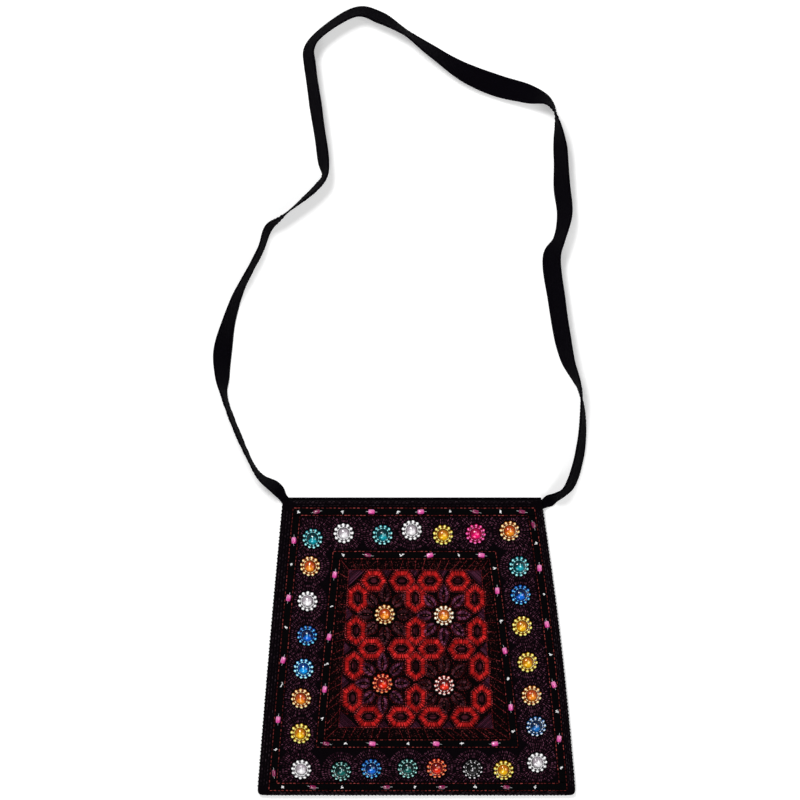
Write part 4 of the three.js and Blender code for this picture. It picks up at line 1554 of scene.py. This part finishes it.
    def hatching(self, medallion, triangle):
        """Stitches from one side of a triangle to the next, side by side."""
        a, b, c = medallion.point(triangle[:, 0], triangle[:, 1])
        count = max(3, int(np.linalg.norm(c - a) / HATCH_PITCH))
        shares = ((np.arange(count) + 0.5) / count)[:, None]
        return a + (b - a) * shares, a + (c - a) * shares

    def add_ground(self, medallion):
        """Small red stitches strewn over the ground between the other embroidery."""
        random = np.random.default_rng(87)
        middle = medallion.point(random.random(GROUND_SEEDS), random.random(GROUND_SEEDS))
        self.laid(medallion, "ground_seeds", *scattered(middle, GROUND_SEED_HALF, random))

    def add_truss(self, medallion):
        """Thin red ties and seeds across the border between the inner ribbon and the medallion."""
        random = np.random.default_rng(95)
        outer = grown(medallion.shape.patch_edge, BORDER_ROOM)
        borders = [
            (medallion.side(side, BORDER_POINTS), medallion.shape.inset_side(outer, side, BORDER_POINTS))
            for side in SIDES
        ]
        last = BORDER_POINTS - 1
        pairs = []
        for near, far in borders:
            pairs.append(dashes(near, TIE_PITCH, RIM_DASH, random))
            places = np.linspace(0, last, TIES).astype(int)
            lean = np.clip(places + random.integers(*TIE_LEAN, TIES), 0, last)
            lean[0], lean[-1] = 0, last
            for a, b in zip(near[places], far[lean]):
                pairs.append(dashes(np.linspace(a, b, 8), TIE_PITCH, TIE_DASH, random))
        self.laid(medallion, "border_ties", *gathered(pairs))
        seeds = []
        count = BORDER_SEEDS // len(SIDES)
        for near, far in borders:
            places = (random.random(count) * last).astype(int)
            depth = random.uniform(*BORDER_DEPTH, count)[:, None]
            middle = near[places] + (far[places] - near[places]) * depth
            seeds.append(scattered(middle, BORDER_SEED_HALF, random))
        self.laid(medallion, "border_seeds", *gathered(seeds))


# Studs

# The rim's pearls and the dome: points round the stud and round a pearl, and the way that pearls' painted
# glints face
PEARLS = 12
PEARL_RADIUS = 1.5 * MM
PEARL_POINTS = 12
STUD_POINTS = 40
DOME_RADIUS = 5.2 * MM
DOME_BASE = 0.9 * MM
GLINT_WAY = np.array([0.0, -0.38, 0.8])
STUD_CLEARANCE = 0.45 * MM

# The plate under the pearls, from below: shares of the stud's radius, and heights in millimetres
PLATE = ((0.84, 0.0), (0.9, 0.15), (0.9, 0.6), (0.84, 0.8), (0.5, 1.0))

# The scalloped collar round the dome: its lines, and in millimetres its radius, scallops, girth and height
COLLAR_LINES = 8
COLLAR_RADIUS = 5.75
COLLAR_SCALLOP = 0.4
COLLAR_GIRTH = 0.42
COLLAR_LEVEL = 1.9

# The collar's painted light, painted shade between two pearls and a painted glint at one: its middle value
# and its range
COLLAR_PAINTED_LIGHT = 0.42
COLLAR_PAINTED_LIGHT_RANGE = 0.34


def stud_parts(radius, height, phase):
    """A stud's local points, faces, tints and finish numbers: its plate, pearls, collar and dome."""
    circle = TURN * np.arange(STUD_POINTS) / STUD_POINTS
    plate = [ring_at(circle, radius * share, level * MM) for share, level in PLATE]
    turn = TURN * np.arange(PEARL_POINTS) / PEARL_POINTS
    lifts = np.linspace(-0.5, 0.5, 9) * math.pi * 0.97
    ball = np.array([ring_at(turn, math.cos(lift), math.sin(lift)) for lift in lifts])
    pearls, glints = [], []
    for k in range(PEARLS):
        angle = TURN * k / PEARLS + phase
        way = np.array([math.cos(angle), math.sin(angle), 0])
        centre = way * (radius - PEARL_RADIUS) + np.array([0, 0, PEARL_RADIUS * 0.95])
        pearls.append(ball * PEARL_RADIUS + centre)
        # Each pearl's painted glint: its tint is highest on the side that faces the glint's way, tipped
        # outward
        glints.append(np.clip(ball @ (GLINT_WAY + 0.3 * way), 0, 1).ravel() ** 1.7)
    main = TURN * np.arange(PEARLS * 8) / (PEARLS * 8)
    wave = np.cos(PEARLS * (main - phase))
    collar = []
    for t in TURN * np.arange(COLLAR_LINES) / COLLAR_LINES:
        reach = COLLAR_RADIUS + COLLAR_SCALLOP * wave + COLLAR_GIRTH * math.cos(t)
        collar.append(ring_at(main, reach * MM, (COLLAR_LEVEL + COLLAR_GIRTH * math.sin(t)) * MM))
    dome = [
        ring_at(circle, DOME_RADIUS * math.cos(lift), DOME_BASE + (height - DOME_BASE) * math.sin(lift))
        for lift in np.linspace(0, 0.494, 12) * math.pi
    ]
    plate, pearls, dome = (tubes(np.array(rings)) for rings in ([plate], pearls, [dome]))
    points, faces = joined(plate, pearls, loop(np.array(collar)), dome)
    # Tints for the rim's painted light: 0 on the plate is painted shade between the pearls; the pearls get
    # their painted glints and the collar its painted light
    collar_painted_light = COLLAR_PAINTED_LIGHT + COLLAR_PAINTED_LIGHT_RANGE * wave
    tint = np.concatenate([
        np.zeros(len(plate[0])), *glints, np.tile(collar_painted_light, COLLAR_LINES), np.zeros(len(dome[0]))
    ])
    dome_faces = len(dome[1])
    return points, faces, tint, [1] * (len(faces) - dome_faces) + [0] * dome_faces


def ring_at(angles, radius, level):
    """Points round a level circle."""
    return np.stack([np.cos(angles) * radius, np.sin(angles) * radius, np.full(len(angles), level)], axis=1)


def loop(rings):
    """Points and faces of a closed hoop, from the lines that run round it."""
    lines, count, _ = rings.shape
    index = np.arange(lines * count).reshape(lines, count)
    ahead = np.roll(index, -1, axis=1)
    above = np.roll(index, -1, axis=0)
    beyond = np.roll(ahead, -1, axis=0)
    return rings.reshape(-1, 3), np.stack([index, ahead, beyond, above], axis=-1).reshape(-1, 4).tolist()


class BAG_OT_studs(Maker, bpy.types.Operator):
    """Makes the moulded studs, each a foil-backed dome in a rim of small pearls"""

    bl_idname = "bag.studs"
    bl_label = "Studs"

    def make(self, scene):
        shape = BagShape(scene)
        trim = scene.trim_sizes
        finishes = {
            name: (
                stone_finish(f"stone_{name}", *(linear(*tone) for tone in tones)),
                rim_finish(f"rim_{name}", *(linear(*tone) for tone in tones), glint_from),
            )
            for name, (*tones, glint_from) in STONES.items()
        }
        random = np.random.default_rng(101)
        for side in (*SIDES, "centre"):
            lift = trim.patch_top + scene.bag_sizes.gap if side == "centre" else STUD_CLEARANCE
            names, centres = stud_centres(side)
            for name, centre in zip(names, centres):
                slot = SLOT_OF[name]
                phase = random.uniform(0, TURN)
                points, faces, tint, finish_index = stud_parts(trim.stud_radius, trim.stud_height, phase)
                place = self.placed(shape, centre, lift, points)
                uv = points[:, :2] / DOME_RADIUS + random.uniform(-0.12, 0.12, 2)
                mesh = mesh_of(name, place, faces, tint, uv, "stone", finish_index)
                piece = link(f"{name}_moulding", mesh, *finishes[slot.removeprefix("stud_")])
                keep(piece, slot, name)

    def placed(self, shape, centre, lift, points):
        """A stud's points on the cloth, tilted with it."""
        step = MM
        x, y = centre
        slope = np.array([
            (shape.panel_face(x + step, y) - shape.panel_face(x - step, y)) / (2 * step),
            (shape.panel_face(x, y + step) - shape.panel_face(x, y - step)) / (2 * step),
        ])
        normal = unit(np.array([-slope[0], -slope[1], 1.0]))
        right = unit(np.cross([0.0, 1.0, 0.0], normal))
        up = np.cross(normal, right)
        foot = centre - normal[:2] * shape.trim.stud_height / 2
        base = np.array([*foot, float(shape.panel_face(*foot))]) + normal * lift
        return base + points @ np.array([right, up, normal])


# Bead strings

# A CAD bead's points, and the least length of a pink one
BEAD_RING_POINTS = 20
LONG_BEAD = 4.5 * MM

# Pink beads: half their length, the radius of a bright and of a dull one, how far they lean in radians, and
# where the thread's ends leave them, how far the ends reach and the thread's radius
PINK_HALF_LENGTH = 3.0 * MM
PINK_RADIUS = 2.2 * MM
DULL_RADIUS = 1.8 * MM
PINK_LEAN = 0.25
THREAD_ENDS = (2.7 * MM, 2.6 * MM, 0.24 * MM)

# Clear beads, drawn only as bright rods of painted glint off their cut faces: how many each shows, how far
# those spread in millimetres, and their height
PAINTED_CLEAR_GLINTS = 4
CLEAR_SPREAD = 0.55
CLEAR_LEVEL = 0.9 * MM

# Both beads' outlines: places along half the length, and girths there
PINK_PROFILE = [
    (-1, 0.42), (-0.97, 0.68), (-0.88, 0.87), (-0.6, 0.97), (0, 1),
    (0.6, 0.97), (0.88, 0.87), (0.97, 0.68), (1, 0.42),
]
CLEAR_PROFILE = [(-1, 0.4), (-0.85, 0.85), (-0.4, 1), (0.4, 1), (0.85, 0.85), (1, 0.4)]


def beads_of(node, level_string):
    """Each bead's centre, length and radius on a string, from its left or top end."""
    points = np.array([v.co for v in frame["nodes"][node].data.vertices])
    points = np.unique(np.round(points, 6), axis=0)
    order = np.argsort(points[:, 0] if level_string else -points[:, 1])
    groups = points[order].reshape(-1, BEAD_RING_POINTS, 3)
    spans = groups.max(axis=1) - groups.min(axis=1)
    lengths = spans[:, 0] if level_string else spans[:, 1]
    return groups.mean(axis=1), lengths


class BAG_OT_bead_strings(Maker, bpy.types.Operator):
    """Makes the beads along the ribbons and the pale thread that holds them"""

    bl_idname = "bag.bead_strings"
    bl_label = "Bead strings"

    def make(self, scene):
        shape = BagShape(scene)
        colours = scene.bag_colours
        gloss = bead_finish(colours.pink, colours.magenta)
        glass = glass_finish()
        random = np.random.default_rng(111)
        for frame_name in shape.ribbons:
            for side in SIDES:
                node = f"{frame_name}_beads_{side}"
                self.add_string(shape, node, side in ("top", "bottom"), gloss, glass, random)

    def add_string(self, shape, node, level_string, gloss, glass, random):
        centres, lengths = beads_of(node, level_string)
        way = unit(centres[-1] - centres[0])
        parts, tints, index = [], [], []
        pink_number = 0
        for centre, long in zip(centres, lengths):
            lean = random.uniform(-PINK_LEAN, PINK_LEAN)
            ground = float(shape.ribbon_face(centre[0], centre[1]))
            if long > LONG_BEAD:
                turned_way = self.leaned(way, lean)
                dull = pink_number in DULL_BEADS.get(node, ())
                pink_number += 1
                radius = DULL_RADIUS if dull else PINK_RADIUS
                size = (PINK_HALF_LENGTH, radius)
                part = self.bead(centre, turned_way, ground + radius, size, PINK_PROFILE, 16)
                # Painted light on a pink bead: its tint rises toward its upper left and falls toward its
                # lower right
                above = (part[0][:, 1] - centre[1]) / (3 * MM) + (centre[0] - part[0][:, 0]) / (8 * MM)
                parts.append(part)
                tints.append(np.zeros(len(part[0])) if dull else np.clip(0.72 + 0.4 * above, 0.25, 1))
                index += [0] * len(part[1])
                glassy = [self.stubs(centre, turned_way, ground, radius, *THREAD_ENDS)]
            else:
                # A clear bead is drawn as its painted glints alone
                glassy = [self.glint(centre, ground, random) for _ in range(PAINTED_CLEAR_GLINTS)]
            for part in glassy:
                parts.append(part)
                tints.append(np.zeros(len(part[0])))
                index += [1] * len(part[1])
        points, faces = joined(*parts)
        mesh = mesh_of(node, points, faces, np.concatenate(tints), finish_index=index)
        keep(link(f"{node}_string", mesh, gloss, glass), "pink_beads", node)

    def leaned(self, way, angle):
        """A level direction turned a little."""
        c, s = math.cos(angle), math.sin(angle)
        return unit(np.array([way[0] * c - way[1] * s, way[0] * s + way[1] * c, way[2]]))

    def glint(self, centre, ground, random):
        """A painted glint off one of a clear bead's cut faces: a short bright rod that leans its own way."""
        angle = random.uniform(0, TURN)
        way = unit(np.array([math.cos(angle), math.sin(angle), random.uniform(-0.2, 0.2)]))
        shift = random.normal(0, CLEAR_SPREAD, 2) * MM
        radius = random.uniform(0.3, 0.5) * MM
        place = np.array([centre[0] + shift[0], centre[1] + shift[1], 0])
        size = (random.uniform(0.7, 1.5) * MM, radius)
        return self.bead(place, way, ground + CLEAR_LEVEL, size, CLEAR_PROFILE, 8)

    def bead(self, centre, way, level, size, profile, sides):
        left = unit(np.cross([0.0, 0.0, 1.0], way))
        up = np.cross(way, left)
        angles = TURN * np.arange(sides) / sides
        around = np.cos(angles)[:, None] * left + np.sin(angles)[:, None] * up
        middle = np.array([centre[0], centre[1], level])
        rings = [middle + way * share * size[0] + around * girth * size[1] for share, girth in profile]
        return tubes(np.array([rings]))

    def stubs(self, centre, way, ground, radius, start, reach, girth):
        """The thread's two ends, from the bead's holes down to the ribbon."""
        left = unit(np.cross([0.0, 0.0, 1.0], way))
        angles = TURN * np.arange(6) / 6
        made = []
        for sign in (-1, 1):
            rings = []
            for share in np.linspace(0, 1, 5):
                drop = (1 - share) ** 1.5
                middle = np.array([centre[0], centre[1], ground + girth * 0.4 + radius * drop])
                middle = middle + way * sign * (start + reach * share) * np.array([1, 1, 0])
                width = girth * (1 - 0.55 * share)
                ring = np.cos(angles)[:, None] * left * sign
                ring = ring + np.sin(angles)[:, None] * np.array([0, 0, 1.0])
                rings.append(middle + ring * width)
            made.append(rings)
        return tubes(np.array(made))


class BAG_PT_panel(bpy.types.Panel):
    """Lists the bag's sizes and pieces"""

    bl_label = "Shoulder bag"
    bl_idname = "BAG_PT_panel"
    bl_space_type = "VIEW_3D"
    bl_region_type = "UI"
    bl_category = "Bag"

    def draw(self, context):
        for group in GROUPS:
            box = self.layout.box()
            for name in GROUPS[group].__annotations__:
                box.prop(getattr(context.scene, group), name)
        for operator in OPERATORS:
            self.layout.operator(operator.bl_idname)


GROUPS = {"bag_sizes": BagSizes, "trim_sizes": TrimSizes, "strap_sizes": StrapSizes, "bag_colours": Colours}
OPERATORS = [
    BAG_OT_stage, BAG_OT_strap, BAG_OT_panels, BAG_OT_linings, BAG_OT_ribbons, BAG_OT_running_stitches,
    BAG_OT_rosettes, BAG_OT_medallion, BAG_OT_studs, BAG_OT_bead_strings,
]


def register():
    for kind in (*GROUPS.values(), *OPERATORS, BAG_PT_panel):
        bpy.utils.register_class(kind)
    for name, kind in GROUPS.items():
        setattr(bpy.types.Scene, name, bpy.props.PointerProperty(type=kind))


def unregister():
    for name in GROUPS:
        delattr(bpy.types.Scene, name)
    for kind in (BAG_PT_panel, *reversed(OPERATORS), *reversed(list(GROUPS.values()))):
        bpy.utils.unregister_class(kind)


def main():
    register()
    for operator in OPERATORS:
        group, name = operator.bl_idname.split(".")
        getattr(getattr(bpy.ops, group), name)()
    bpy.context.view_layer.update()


if __name__ == "__main__":
    main()
